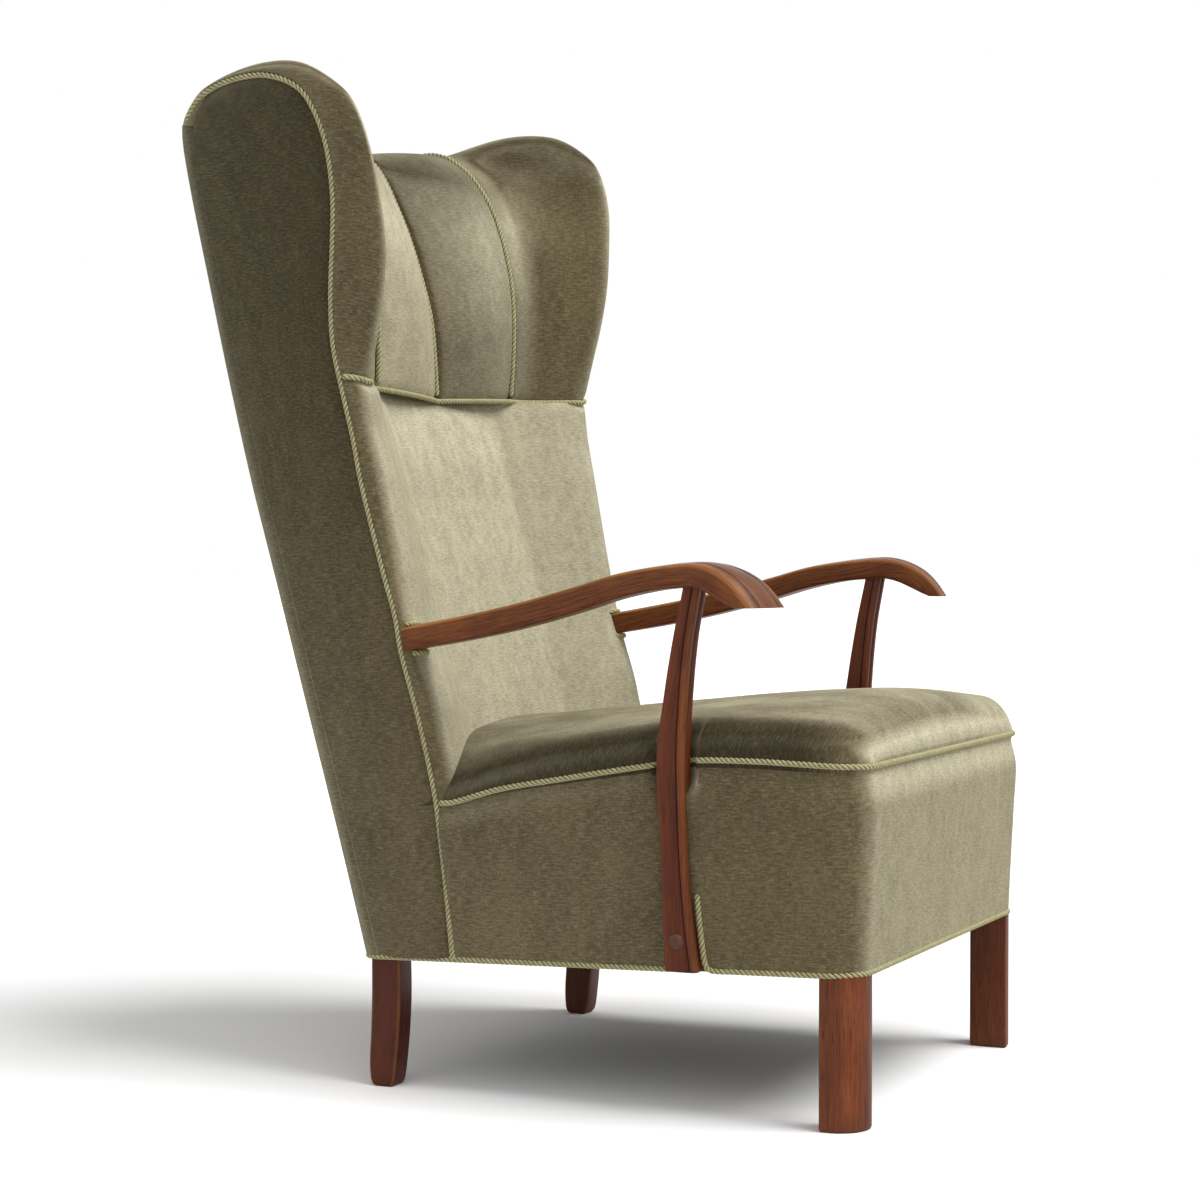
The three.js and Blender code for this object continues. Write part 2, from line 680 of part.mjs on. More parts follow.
function headPad(shares, atSide) {
  const lastRow = centreOutline.length - 1;
  const face = [];
  const back = [];
  const footAt = (x) => headFootZ(Math.min(x / sideX(noseOutline[0].y), 1)) + seamGap + clearance;
  const column = (points, faceX, backX) => {
    const top = points[lastRow].y;
    face.push(points.map((p, i) => {
      const z = i === 0 ? footAt(faceX(noseOutline[0].y)) : p.y;
      const y = i === lastRow ? Math.min(p.x, rearY(z) - frameRear) : p.x;
      return new THREE.Vector3(faceX(z), y, z);
    }));
    back.push(points.map((p, i) => {
      const z = lerp(footAt(backX(noseOutline[0].y)), top - coverThickness, i / lastRow);
      return new THREE.Vector3(backX(z), rearY(z) - frameRear - coverThickness, z);
    }));
  };
  for (const share of shares) {
    column(headOutline(share), (z) => share * sideX(z), (z) => padBackX(share, z));
  }
  if (atSide) {
    const faceX = (z) => sideX(z) - coverInset;
    column(headOutline(1), faceX, (z) => faceX(z) - coverThickness);
  }
  return cut(slab(face, back), hollow, postSpace, boardSpace);
}

const seamShare = seamGap / sideHalfWidth;
const channelShares = channelSpreadShares.map((t) => lerp(seamShare, fluteShare - seamShare, t));
const wingShares = wingSpreadShares.map((t) => lerp(fluteShare + seamShare, noseShare, t));
const rollShares = rollSpreadShares.map((t) => lerp(noseShare, 1, t));

// Piping of the back

const sideCordInset = cordRadius * cordSinkShare;
const seamFootZ = coverFoot(seatSeamY);

// Side seam below the head and along it, in side view, drawn back by a gap.
function lowerSeam(gap) {
  const heights = seamShares.slice(0, -1).map(([h]) => h * overallHeight);
  const above = heights.filter((z) => z > seamFootZ + cordRadius);
  return [seamFootZ, ...above].map((z) => new THREE.Vector2(seamY(z) + gap, z));
}

function upperSeam(gap) {
  return headSeamOutline.map((p, i) => p.clone().addScaledVector(outward(headSeamOutline, i), -gap));
}

function sidePipingPath() {
  const offset = upperSeam(seamGap);
  const upper = offset.slice(0, -1);
  const end = lastOf(upper).clone().lerp(lastOf(offset), pipingEndShare);
  const seam = [...lowerSeam(seamGap), ...upper, end];
  return seam.map((p) => new THREE.Vector3(sideX(p.y) - sideCordInset, p.x, p.y));
}

function headPipingPath() {
  const half = [...headPipeShares, noseShare, ...rollShares.slice(0, -1)];
  const place = (share, sign) => {
    const z = headFootZ(share);
    return new THREE.Vector3(sign * share * sideX(z), headOutline(share)[0].x, z);
  };
  const left = half.map((share) => place(share, 1));
  const right = half.slice(1).map((share) => place(share, -1)).reverse();
  return [...right, ...left];
}

function channelPipingPath(share, points, sign) {
  const foot = points[0].clone();
  foot.y += seamGap + 2 * clearance;
  return [foot, ...points.slice(1, -1)].map((p) => placeShare(share * sign, p));
}

// Lower back

const lowerBackFoot = seatSeamZ(seatSeamY) + seamGap + clearance;

function lowerBackY(share, z) {
  if (share <= noseShare) {
    const t = smooth((share / noseShare - concaveStartShare) / (1 - concaveStartShare));
    return lerp(lowerCentreY(z), lowerNoseY(z), t);
  }
  const t = Math.min((share - noseShare) / (1 - noseShare), 1);
  return lerp(seamY(z), lowerNoseY(z), Math.sqrt(1 - t * t));
}

function lowerBack(grow) {
  const half = [...lowerSpreadShares, noseShare, ...rollShares];
  const face = [];
  const back = [];
  const column = (share, faceX, backX) => {
    const headZ = noseOutline[0].y;
    const topAt = (x) => headFootZ(Math.min(Math.abs(x) / sideX(headZ), 1)) - seamGap - clearance;
    const rows = (x) => spread(lowerBackRows).map((t) => lerp(lowerBackFoot - grow, topAt(x(headZ)), t));
    face.push(rows(faceX).map((z) => new THREE.Vector3(faceX(z), lowerBackY(share, z) - 2 * grow, z)));
    back.push(rows(backX).map((z) => new THREE.Vector3(backX(z), rearY(z) - padRear + overrun, z)));
  };
  const side = (sign) => {
    const faceX = (z) => sideX(z) - coverInset;
    column(1, (z) => sign * faceX(z), (z) => sign * (faceX(z) - coverThickness));
  };
  side(-1);
  for (const share of [...half.slice(1).reverse().map((s) => -s), ...half]) {
    const wide = Math.abs(share);
    column(wide, (z) => share * (sideX(z) + grow), (z) => padBackX(share, z));
  }
  side(1);
  return slab(face, back);
}

// Covers of the back

function outerBack(grow) {
  const radius = rearCornerRadius;
  const stations = [
    ...outerArcShares.map((t) => ({ angle: t === 0 ? -grow / radius : (t * Math.PI) / 2, across: 1 })),
    ...outerSpreadShares.map((across) => ({ angle: Math.PI / 2, across })),
  ];
  const all = [...stations, ...stations.slice(0, -1).reverse().map((s) => ({ ...s, mirror: true }))];
  const grid = (depth) => all.map(({ angle, across, mirror }) => {
    const share = across * (1 - (radius * (1 - Math.cos(angle))) / sideHalfWidth);
    const topZ = lastOf(headOutline(share)).y - (angle <= 0 ? 2 * cordRadius : 0) + grow;
    const foot = coverFoot(rearFootY - radius + radius * Math.sin(angle));
    return outerLevelShares.map((t) => {
      const z = lerp(foot, topZ, t);
      const x = across * (sideX(z) - radius) + (radius - depth) * Math.cos(angle);
      return new THREE.Vector3(mirror ? -x : x, rearY(z) - radius + (radius - depth) * Math.sin(angle), z);
    });
  });
  return slab(grid(grow > 0 ? -overrun : 0), grid(coverThickness + grow));
}

function sidePanel() {
  const gap = 2 * cordRadius + 2 * clearance;
  const front = [...lowerSeam(gap), ...upperSeam(gap).slice(0, -1)];
  const rearEdge = (z) => rearY(z) - rearCornerRadius + clearance;
  const footZ = coverFoot(rearFootY - rearCornerRadius);
  const topZ = lastOf(headSeamOutline).y;
  const rows = front.map((p, i) => {
    const t = i / (front.length - 1);
    const z = lerp(footZ, topZ, t);
    return [p, new THREE.Vector2(rearEdge(z), z)];
  });
  const grid = (depth) => rows.map(([a, b]) => spread(panelSteps).map((t) => {
    const p = a.clone().lerp(b, t);
    return new THREE.Vector3(sideX(p.y) - depth, p.x, p.y);
  }));
  return slab(grid(0), grid(coverThickness));
}

// Seat

// Half-width of the seat at a depth, with the front corner rounded in plan.
function seatEdgeX(y) {
  const behind = THREE.MathUtils.clamp(y - seatFrontY, 0, seatCornerRadius);
  const hollowed = seatCornerRadius - behind;
  return seatHalf(y) - seatCornerRadius + Math.sqrt(seatCornerRadius ** 2 - hollowed ** 2);
}

const seatCornerY = seatFrontY + seatCornerRadius;
const evenDepths = (count) => spread(count).slice(0, -1).map((t) => lerp(seatSeamY, seatCornerY, t));

// Stations round the seat from one rear seam to the other: place and outward direction in plan.
function seatPath(depths) {
  const cornerX = seatHalf(seatCornerY) - seatCornerRadius;
  const outwards = new THREE.Vector2(1, 0);
  const side = [...depths, seatCornerY].map((y) => ({ x: seatHalf(y), y, normal: outwards }));
  const corner = spread(seatCornerSteps).slice(1).map((t) => {
    const normal = new THREE.Vector2(Math.cos((Math.PI / 2) * t), -Math.sin((Math.PI / 2) * t));
    const x = cornerX + seatCornerRadius * normal.x;
    return { x, y: seatCornerY + seatCornerRadius * normal.y, normal };
  });
  const half = [...side, ...corner];
  const mirror = (n) => new THREE.Vector2(-n.x, n.y);
  const other = half.map(({ x, y, normal }) => ({ x: -x, y, normal: mirror(normal) })).reverse();
  return [...half, { x: 0, y: seatFrontY, normal: new THREE.Vector2(0, -1) }, ...other];
}

const atOffset = ({ x, y, normal }, offset, z) => (
  new THREE.Vector3(x + normal.x * offset, y + normal.y * offset, z)
);

// A wall that follows the edge of the seat: section gives offset and height pairs at a station.
function seatWall(section, endShift) {
  const stations = seatPath(evenDepths(seatSideSteps));
  const rings = stations.map((station, i) => {
    const isEnd = i === 0 || i === stations.length - 1;
    return section(station.y).map(([offset, z]) => {
      const p = atOffset(station, offset, z);
      return isEnd ? p.setY(seamY(z) + endShift) : p;
    });
  });
  return loft(rings, 'y');
}

function seatBorder() {
  return seatWall((y) => {
    const low = coverFoot(y);
    const high = seatSeamZ(y) - seamGap - 2 * clearance;
    const step = railTop(y) + clearance;
    return [
      ...borderShares.map(([inward, rise]) => [-inward * borderThickness, lerp(low, high, rise)]),
      [-borderUpperThickness, high], [-borderUpperThickness, step],
      [-borderThickness, step], [-borderThickness, low],
    ];
  }, 0);
}

// Everything under the edge of the seat pad.
function seatEdgeSpace() {
  return seatWall((y) => {
    const low = railTop(y);
    const high = seatSeamZ(y) + seamGap + 2 * clearance;
    const ledge = borderUpperThickness + seamGap;
    return [[overrun, low], [overrun, high], [-ledge, high], [-ledge, low]];
  }, clearance);
}

// The space beside the foot of the lower back, behind the rear end of the seat border.
function seatRearSpace() {
  const grid = (x) => spread(rearSpaceSteps).map((t) => {
    const z = lerp(canvasHeight - overrun, seatCrownZ(seatSeamY) + seatCornerRadius, t);
    const depths = [seamY(z) - cordRadius, seatRearY + overrun];
    return depths.map((y) => new THREE.Vector3(x(z), y, z));
  });
  return slab(grid((z) => sideX(z) - 3 * coverInset), grid((z) => sideX(z) + overrun));
}

function seatPad() {
  const edgeHeight = (distance, falloff) => Math.sqrt(1 - (1 - clamp01(distance / falloff)) ** 2);
  const half = seatSpreadShares.map((d) => 1 - d);
  const shares = [...half.slice(0, -1).map((s) => -s), ...half.slice().reverse()];
  const top = [];
  const bottom = [];
  for (const depth of seatDepthShares) {
    const y = lerp(seatFrontY + clearance, seatRearY, depth);
    const behind = y - seatFrontY;
    const seam = seatSeamZ(y) + cordRadius;
    top.push(shares.map((share) => {
      const beside = (1 - Math.abs(share)) * seatHalf(y);
      const rise = edgeHeight(behind, edgeFalloff) * edgeHeight(beside, edgeFalloff);
      const crown = (seatCrownZ(y) - seam - edgeRise) * edgeHeight(behind, 2 * edgeFalloff);
      const z = seam + edgeRise * rise + crown * (1 - share ** 2);
      return new THREE.Vector3(share * seatEdgeX(y), y, z);
    }));
    const low = canvasHeight + canvasThickness + clearance;
    bottom.push(shares.map((share) => new THREE.Vector3(share * seatEdgeX(y), y, low)));
  }
  return slab(top, bottom);
}

// Arms

const armFrontToRear = armShares.slice().reverse();
const armTopZ = curveThrough(armFrontToRear.map(([y, z]) => [y, z]), overallDepth, overallHeight);
const armLowZ = curveThrough(armFrontToRear.map(([, , y, z]) => [y, z]), overallDepth, overallHeight);

// Section of the arm at a station, with two carved grooves along the top of the paw.
function armSection([topY, topZ, lowY, lowZ, innerX, outerX, lag], grow, behind) {
  const paw = clamp01((outerX - innerX - pawStartShare) / pawSpanShare);
  const thickness = Math.hypot((topY - lowY) * overallDepth, (topZ - lowZ) * overallHeight);
  const dent = (armGrooveDepth * paw) / thickness;
  return armSectionShares.map(([across, up, carved]) => {
    const level = up - carved * dent;
    return new THREE.Vector3(
      lerp(innerX * sideHalfWidth - grow, outerX * sideHalfWidth + grow, across),
      (lerp(lowY, topY, level) + lag * across) * overallDepth + behind,
      lerp(lowZ * overallHeight - grow, topZ * overallHeight + grow, level),
    );
  });
}

function armBody(grow) {
  return loft(armShares.map((station, i) => armSection(station, grow, i === 0 ? grow : 0)), 'y', 'z');
}

const armRearY = armShares[0][0] * overallDepth;
const tongueZ = ((armShares[0][1] + armShares[0][3]) / 2) * overallHeight;
const tongueInnerX = postOuterX(tongueZ) - postWidth + tongueInset;
const tongueEndY = postFrontY(tongueZ) + overrun;
const screwX = tongueInnerX + screwInset;

function armTongue(grow) {
  const low = tongueInnerX - grow;
  const high = tongueInnerX + tongueWidth + grow;
  const start = armRearY - 2 * overrun;
  const end = tongueEndY;
  const height = tongueHeight / 2 + grow;
  const footprint = [[low, start], [high, start], [high, end], [low, end]];
  return block(footprint, () => tongueZ - height, () => tongueZ + height);
}

// Screw from behind the upright into the tongue of the arm.
function armScrew(grow) {
  const neck = postDepth + screwGrip - screwHeadDepth;
  const head = neck + screwHeadDepth + (grow > 0 ? 2 * screwHeadDepth : 0);
  const pairs = [
    [0, -grow], [screwRadius + grow, -grow], [screwRadius + grow, neck - screwHeadDepth],
    [screwHeadRadius + grow, neck], [screwHeadRadius + grow, head], [0, head],
  ];
  const startY = postFrontY(tongueZ) - screwGrip - screwHeadDepth;
  return turned(pairs, screwSides).translate(screwX, startY, tongueZ);
}

const postMiddleY = ((armPostShares[0][1] + armPostShares[0][2]) / 2) * overallDepth;
const armPostInnerX = seatHalf(postMiddleY) - borderThickness;
const armPostOuterX = armPostInnerX + armPostThickness;
const armPostFootZ = bottomCordZ(postMiddleY);
const armPostLevels = armPostShares.map(([up, rear, front]) => ({
  z: lerp(armPostFootZ, overallHeight * armPostTopShare, up),
  rear: rear * overallDepth,
  front: front * overallDepth,
}));
const armPostFrontY = curveThrough(armPostLevels.map(({ z, front }) => [z, front]));
const boltZ = armPostFootZ + boltRise;

// Arm post: a bowed upright with two beads and a groove down its front.
function armPost() {
  const bead = postBeadRadius;
  const rings = armPostLevels.map(({ z, rear, front: nose }) => {
    const half = beadAngles.map(THREE.MathUtils.degToRad).map((angle) => [
      bead - bead * Math.cos(angle), nose + bead - bead * Math.sin(angle),
    ]);
    const groove = [armPostThickness / 2, nose + bead + armGrooveDepth / 2];
    const section = [
      [0, rear - armGrooveDepth], [armGrooveDepth, rear],
      [armPostThickness - armGrooveDepth, rear], [armPostThickness, rear - armGrooveDepth],
      ...half.map(([x, y]) => [armPostThickness - x, y]), groove, ...half.slice().reverse(),
    ];
    return section.map(([x, y]) => new THREE.Vector3(armPostInnerX + x, y, z));
  });
  return loft(rings, 'z');
}

function armPostSpace() {
  const low = armPostInnerX - clearance;
  const high = armPostOuterX + overrun;
  const below = { ...armPostLevels[0], z: armPostFootZ - overrun };
  const rings = [below, ...armPostLevels].map(({ z, rear, front }) => [
    new THREE.Vector3(low, front - clearance, z), new THREE.Vector3(high, front - clearance, z),
    new THREE.Vector3(high, rear + clearance, z), new THREE.Vector3(low, rear + clearance, z),
  ]);
  return loft(rings, 'z');
}

// Bolt through the foot of the arm post into the side rail, domed plug outside.
function postBolt(grow) {
  const shank = armPostThickness + railThickness / 2;
  const head = shank + boltHeadHeight;
  const pairs = [
    [0, -grow], [boltShankRadius + grow, -grow], [boltShankRadius + grow, shank + clearance - grow],
    [boltHeadRadius, shank + clearance - grow], [boltHeadRadius, shank + boltHeadHeight / 2],
    [boltHeadRadius * boltCrownShare, head], [0, head],
  ];
  const middle = (armPostLevels[1].rear + armPostLevels[1].front) / 2;
  const along = turned(pairs, boltSides).rotateZ(-Math.PI / 2);
  return along.translate(armPostOuterX - shank, middle, boltZ);
}

// Seat frame

const legOuterX = seatHalf(seatFrontY) - legInset;
const legInnerX = legOuterX - frontLegWidth;
const legFrontFaceY = seatFrontY + legInset;
const legRearFaceY = legFrontFaceY + frontLegDepth;
const stumpOuterX = seatHalf(legRearFaceY) - borderThickness - clearance;
const stumpFrontY = seatFrontY + borderThickness + clearance;
const railInnerX = (y) => seatHalf(y) - borderThickness - clearance - railThickness;

function frontLeg(grow) {
  const ring = (z, outerX, frontY, radius, inset) => {
    const inner = legInnerX - grow + inset;
    const rear = legRearFaceY + grow - inset;
    const outer = outerX + grow - inset;
    const front = frontY - grow + inset;
    const arc = spread(legCornerSteps).map((t) => {
      const angle = (Math.PI / 2) * t;
      return [outer - radius + radius * Math.sin(angle), front + radius - radius * Math.cos(angle)];
    });
    const section = [[inner, rear], [inner, front], ...arc, [outer, rear]];
    return section.map(([x, y]) => new THREE.Vector3(x, y, z));
  };
  const shoulder = skirtZ(legRearFaceY) - clearance;
  const stumpRadius = (stumpOuterX - legInnerX) * stumpRoundShare;
  return loft([
    ring(0, legOuterX, legFrontFaceY, frontLegRadius, legFootEdge),
    ring(legFootEdge, legOuterX, legFrontFaceY, frontLegRadius, 0),
    ring(shoulder, legOuterX, legFrontFaceY, frontLegRadius, 0),
    ring(shoulder, stumpOuterX, stumpFrontY, stumpRadius, 0),
    ring(railTop(legRearFaceY) + grow, stumpOuterX, stumpFrontY, stumpRadius, 0),
  ], 'z');
}

function sideRail() {
  const front = legRearFaceY + clearance;
  const rear = rearRailY + railThickness;
  const outer = (y) => seatHalf(y) - borderThickness - clearance;
  const footprint = [
    [railInnerX(front), front], [outer(front), front], [outer(seatSeamY), seatSeamY], [outer(rear), rear],
    [railInnerX(rear), rear], [railInnerX(seatSeamY), seatSeamY],
  ];
  return block(footprint, railFoot, railTop);
}

// Footprint of a straight piece between two widths and two depths.
const oblong = (low, high, front, rear) => [[low, front], [high, front], [high, rear], [low, rear]];

function crossRail(halfLength, frontY) {
  return block(oblong(-halfLength, halfLength, frontY, frontY + railThickness), railFoot, railTop);
}

const blockFoot = (y) => railFoot(y) + blockInset;
const blockTop = (y) => railTop(y) - blockInset;
const rearRailY = postFrontY(railTop(seatRearY)) - railThickness / 2;
const frontRailInnerY = stumpFrontY + railThickness + clearance;

function frontBlock() {
  const atLeg = legRearFaceY + clearance;
  const inner = railInnerX(atLeg + blockSize) - clearance;
  const besideLeg = legInnerX - clearance;
  const footprint = [
    [besideLeg, frontRailInnerY], [besideLeg, atLeg], [inner, atLeg],
    [inner, atLeg + blockSize], [besideLeg - blockSize, frontRailInnerY],
  ];
  return block(footprint, blockFoot, blockTop);
}

function rearBlock() {
  const inner = railInnerX(rearRailY) - clearance;
  const rear = rearRailY - clearance;
  return block([[inner, rear], [inner, rear - blockSize], [inner - blockSize, rear]], blockFoot, blockTop);
}

const springMiddleY = overallDepth * springMiddleShare;
const springSpacingY = overallDepth * springSpacingShare;

// Crossed bands under the rails of the seat.
function seatWebbing() {
  const low = (y) => railFoot(y) - clearance - webThickness;
  const high = (y) => railFoot(y) - clearance;
  const reachX = railInnerX(0) + railThickness / 2;
  const frontEnd = stumpFrontY + railThickness / 2;
  const rearEnd = rearRailY + railThickness / 2;
  const lengthwise = springColumns.map((share) => {
    const x = share * springSpacingX;
    return block(oblong(x - webWidth / 2, x + webWidth / 2, frontEnd, rearEnd), low, high);
  });
  const crosswise = springColumns.map((share) => {
    const front = springMiddleY + share * springSpacingY - webWidth / 2;
    return block(oblong(-reachX, reachX, front, front + webWidth), low, high);
  });
  return join(...lengthwise, ...crosswise);
}

function seatSpring(x, y) {
  const high = canvasHeight - clearance - springWireRadius;
  const path = spread(springTurns * springSteps).map((t) => {
    const radius = lerp(springRadius, springWaist, Math.sin(Math.PI * t));
    const angle = 2 * Math.PI * springTurns * t;
    const depth = y + radius * Math.sin(angle);
    const low = railFoot(depth) + springWireRadius;
    return new THREE.Vector3(x + radius * Math.cos(angle), depth, lerp(low, high, smooth(t)));
  });
  return bar(path, springWireRadius, wireSides);
}

function springCanvas() {
  const half = seatHalf(0) - borderUpperThickness - 2 * clearance - canvasThickness;
  const front = seatFrontY + seatCornerRadius;
  const rear = seatRearY - overrun;
  const narrow = half - seatCornerRadius + borderUpperThickness;
  const edge = seatFrontY + borderUpperThickness + 2 * clearance;
  const footprint = [
    [-half, rear], [-half, front], [-narrow, edge], [narrow, edge], [half, front], [half, rear],
  ];
  return block(footprint, () => canvasHeight, () => canvasHeight + canvasThickness);
}

function dustCover() {
  const half = railInnerX(0) + railThickness - canvasThickness;
  const front = stumpFrontY + canvasThickness;
  const rear = rearFootY - 3 * overrun;
  return block(oblong(-half, half, front, rear), skirtZ, (y) => skirtZ(y) + dustCoverThickness);
}

// Piping of the seat and of the lower edge

const tuckMiddleY = (armPostLevels[3].rear + armPostLevels[3].front) / 2;

// How far the seat cord tucks in behind the arm post at a depth.
function cordTuck(y) {
  const away = Math.abs(y - tuckMiddleY) / tuckStep - 2;
  const full = seatHalf(y) - (armPostInnerX - 2 * clearance - cordRadius);
  return full * (1 - smooth(away / 2));
}

function seatPipingPath() {
  const end = seamY(seatSeamZ(seatSeamY)) - 2 * clearance;
  const nearPost = tuckStations.map((k) => tuckMiddleY + k * tuckStep);
  const rearmost = nearPost[0] + 2 * tuckStep;
  const behind = spread(cordBehindSteps).map((t) => lerp(seatSeamY, rearmost, t));
  const frontmost = seatCornerY + tuckStep;
  const ahead = spread(cordAheadSteps).slice(1).map((t) => lerp(lastOf(nearPost), frontmost, t));
  const stations = seatPath([...behind, ...nearPost, ...ahead]);
  return stations.map((station, i) => {
    const isEnd = i === 0 || i === stations.length - 1;
    const y = isEnd ? end : station.y;
    const p = atOffset(station, -cordTuck(y), seatSeamZ(y));
    return isEnd ? p.setY(end) : p;
  });
}

// Lower cord round the front; each end turns up beside the front of the arm post.
function bottomFrontPath() {
  const besideY = (z) => armPostFrontY(z) - seamGap - clearance;
  const upright = risingCordShares.map((share) => {
    const z = armPostFootZ + cordRiseHeight * share;
    return new THREE.Vector3(seatHalf(besideY(z)) - cordRadius / 3, besideY(z), z);
  });
  const bendY = besideY(armPostFootZ);
  const turnY = bendY - 3 * cordRadius;
  const turn = [
    new THREE.Vector3(seatHalf(bendY) - cordRadius, bendY - cordRadius / 2, armPostFootZ + cordRadius),
    new THREE.Vector3(seatHalf(turnY) - lowerCordInset, turnY, bottomCordZ(turnY)),
  ];
  const between = spread(cordAheadSteps).slice(1, -1).map((t) => lerp(turnY, seatCornerY, t));
  const along = seatPath(between).map((s) => atOffset(s, -lowerCordInset, bottomCordZ(s.y)));
  const mirror = (p) => new THREE.Vector3(-p.x, p.y, p.z);
  const start = [...upright, ...turn];
  return [...start, ...along, ...start.map(mirror).reverse()];
}

function bottomRearPath() {
  const startY = armPostLevels[0].rear + 2 * clearance;
  const side = spread(cordSideSteps).map((t) => {
    const y = lerp(startY, rearFootY - rearCornerRadius, t);
    const x = lerp(seatHalf(y) - lowerCordInset, sideX(skirtRearHeight) - coverThickness / 2, t);
    return new THREE.Vector3(x, y, bottomCordZ(y));
  });
  const radius = rearCornerRadius - coverThickness / 2;
  const centreX = sideX(skirtRearHeight) - rearCornerRadius;
  const centreY = rearFootY - rearCornerRadius;
  const corner = spread(cordCornerSteps).slice(1).map((t) => {
    const angle = (Math.PI / 2) * t;
    const y = centreY + radius * Math.sin(angle);
    return new THREE.Vector3(centreX + radius * Math.cos(angle), y, bottomCordZ(y));
  });
  const half = [...side, ...corner];
  return [...half, ...half.map((p) => new THREE.Vector3(-p.x, p.y, p.z)).reverse()];
}

// Cord collar round the arm where it meets the back: top, inner side, underside.
function collarPath() {
  const nearY = armRearY - 3 * cordRadius;
  const topZ = armTopZ(nearY - 3 * cordRadius) + seamGap + clearance;
  const lowZ = armLowZ(nearY + 2 * cordRadius) - seamGap - clearance;
  const innerX = armShares[0][4] * sideHalfWidth - seamGap - clearance;
  const on = (x, z) => {
    const y = lowerBackY(Math.min(x / sideX(z), 1), z) - cordRadius * cordSinkShare;
    return new THREE.Vector3(x, y, z);
  };
  const outerX = (z) => sideX(z) * collarEndShare;
  const middleX = (z) => lerp(innerX, outerX(z), 0.5);
  return [
    on(outerX(topZ), topZ), on(middleX(topZ), topZ), on(innerX + 2 * cordRadius, topZ),
    on(innerX + cordRadius / 3, topZ - cordRadius), on(innerX, (topZ + lowZ) / 2),
    on(innerX + cordRadius / 3, lowZ + cordRadius), on(innerX + 2 * cordRadius, lowZ),
    on(middleX(lowZ), lowZ), on(outerX(lowZ), lowZ),
  ];
}

// Paths shared by the cords and by the pads they lie in

const seatPiping = seatPipingPath();
const bottomFront = bottomFrontPath();
const risingCordSpace = cordSpace(bottomFront.slice(0, risingCordShares.length + 3));
const headPiping = headPipingPath();
const sidePiping = sidePipingPath();
const collar = collarPath();
const collarSpace = cordSpace(collar);
const legSpace = frontLeg(clearance);
const outerSpace = outerBack(clearance);
const tongueSpace = armTongue(clearance);
const screwSpace = armScrew(clearance);
const postHole = armPostSpace();
const armSpace = armBody(clearance);
const boltSpace = postBolt(clearance);

// Assembly: timber

addPart('seat_front_rail', crossRail(legInnerX - clearance, stumpFrontY), rawBeech);
addPart('seat_rear_rail', cut(
  crossRail(railInnerX(rearRailY + railThickness) - clearance, rearRailY), postSpace, mirrored(postSpace),
), rawBeech);
addPair('seat_side_rail', cut(sideRail(), postSpace, boltSpace), rawBeech);
addPair('front_corner_block', frontBlock(), rawBeech);
addPair('rear_corner_block', cut(rearBlock(), postSpace), rawBeech);
addPair('back_post', cut(backPost(0), screwSpace, outerSpace), darkBeech);
addPart('back_top_rail', backRail(topRailTop, topRailHeight), rawBeech);
addPart('back_middle_rail', backRail(middleRailTop, backRailHeight), rawBeech);
addPart('back_bottom_rail', backRail(lowRailTop, backRailHeight), rawBeech);
addPair('wing_board', cut(wingBoard(0), postSpace), rawBeech);
addPair('front_leg', frontLeg(0), oak);
addPair('arm', cut(join(armBody(0), armTongue(0)), postSpace, screwSpace), oak);
addPair('arm_post', cut(armPost(), armSpace, boltSpace), oak);
addPair('post_bolt', postBolt(0), oak);
addPair('arm_screw', armScrew(0), steel);

// Assembly: springing

addPart('seat_webbing', seatWebbing(), jute);
springColumns.forEach((across, i) => springColumns.forEach((along, k) => {
  const name = `seat_spring_${i * springColumns.length + k + 1}`;
  addPart(name, seatSpring(across * springSpacingX, springMiddleY + along * springSpacingY), steel);
}));
addPart('spring_canvas', springCanvas(), jute);
addPart('back_webbing', cut(
  backWebbing(), postSpace, mirrored(postSpace), boardSpace, mirrored(boardSpace),
  tongueSpace, mirrored(tongueSpace), screwSpace, mirrored(screwSpace),
), jute);

// Assembly: upholstery

const lowerSpace = lowerBack(clearance);
addPart('seat_pad', cut(
  seatPad(), seatEdgeSpace(), lowerSpace, seatRearSpace(), mirrored(seatRearSpace()),
  postHole, mirrored(postHole),
), velour);
addPart('seat_border', cut(
  seatBorder(), postHole, mirrored(postHole), risingCordSpace, mirrored(risingCordSpace),
), velour);
addPart('lower_back_pad', cut(
  lowerBack(0), hollow, postSpace, mirrored(postSpace), boardSpace, mirrored(boardSpace),
  armSpace, mirrored(armSpace), tongueSpace, mirrored(tongueSpace), collarSpace, mirrored(collarSpace),
), velour);
addPair('head_channel', headPad(channelShares, false), velour);
addPair('wing_pad', cut(headPad([...wingShares, ...rollShares], true), outerSpace), velour);
addPair('side_panel', cut(sidePanel(), outerSpace), velour);
addPart('outer_back', outerBack(0), velour);
addPart('dust_cover', cut(dustCover(), legSpace, mirrored(legSpace), postSpace, mirrored(postSpace)), jute);

// Assembly: piping

addPair('side_piping', cord(sidePiping), cordYarn);
addPart('seat_piping', cord(seatPiping), cordYarn);
addPart('bottom_piping_front', cord(bottomFront), cordYarn);
addPart('bottom_piping_rear', cord(bottomRearPath()), cordYarn);
addPart('head_piping', cord(headPiping), cordYarn);
addPart('centre_piping', cord(channelPipingPath(0, centreOutline, 1)), cordYarn);
addPair('flute_piping', cord(channelPipingPath(fluteShare, fluteOutline, 1)), cordYarn);
addPair('arm_collar', cord(collar), cordYarn);

// The middle of the whole depth stands over the origin.
const middle = new THREE.Box3().setFromObject(chair).getCenter(new THREE.Vector3());
for (const mesh of chair.children) mesh.geometry.translate(0, -middle.y, 0);

export default chair;
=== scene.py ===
"""Fireside chair: the looks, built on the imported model's frame.

Lengths are in millimetres up to place(), and in metres in materials, floor and camera.
"""

import math

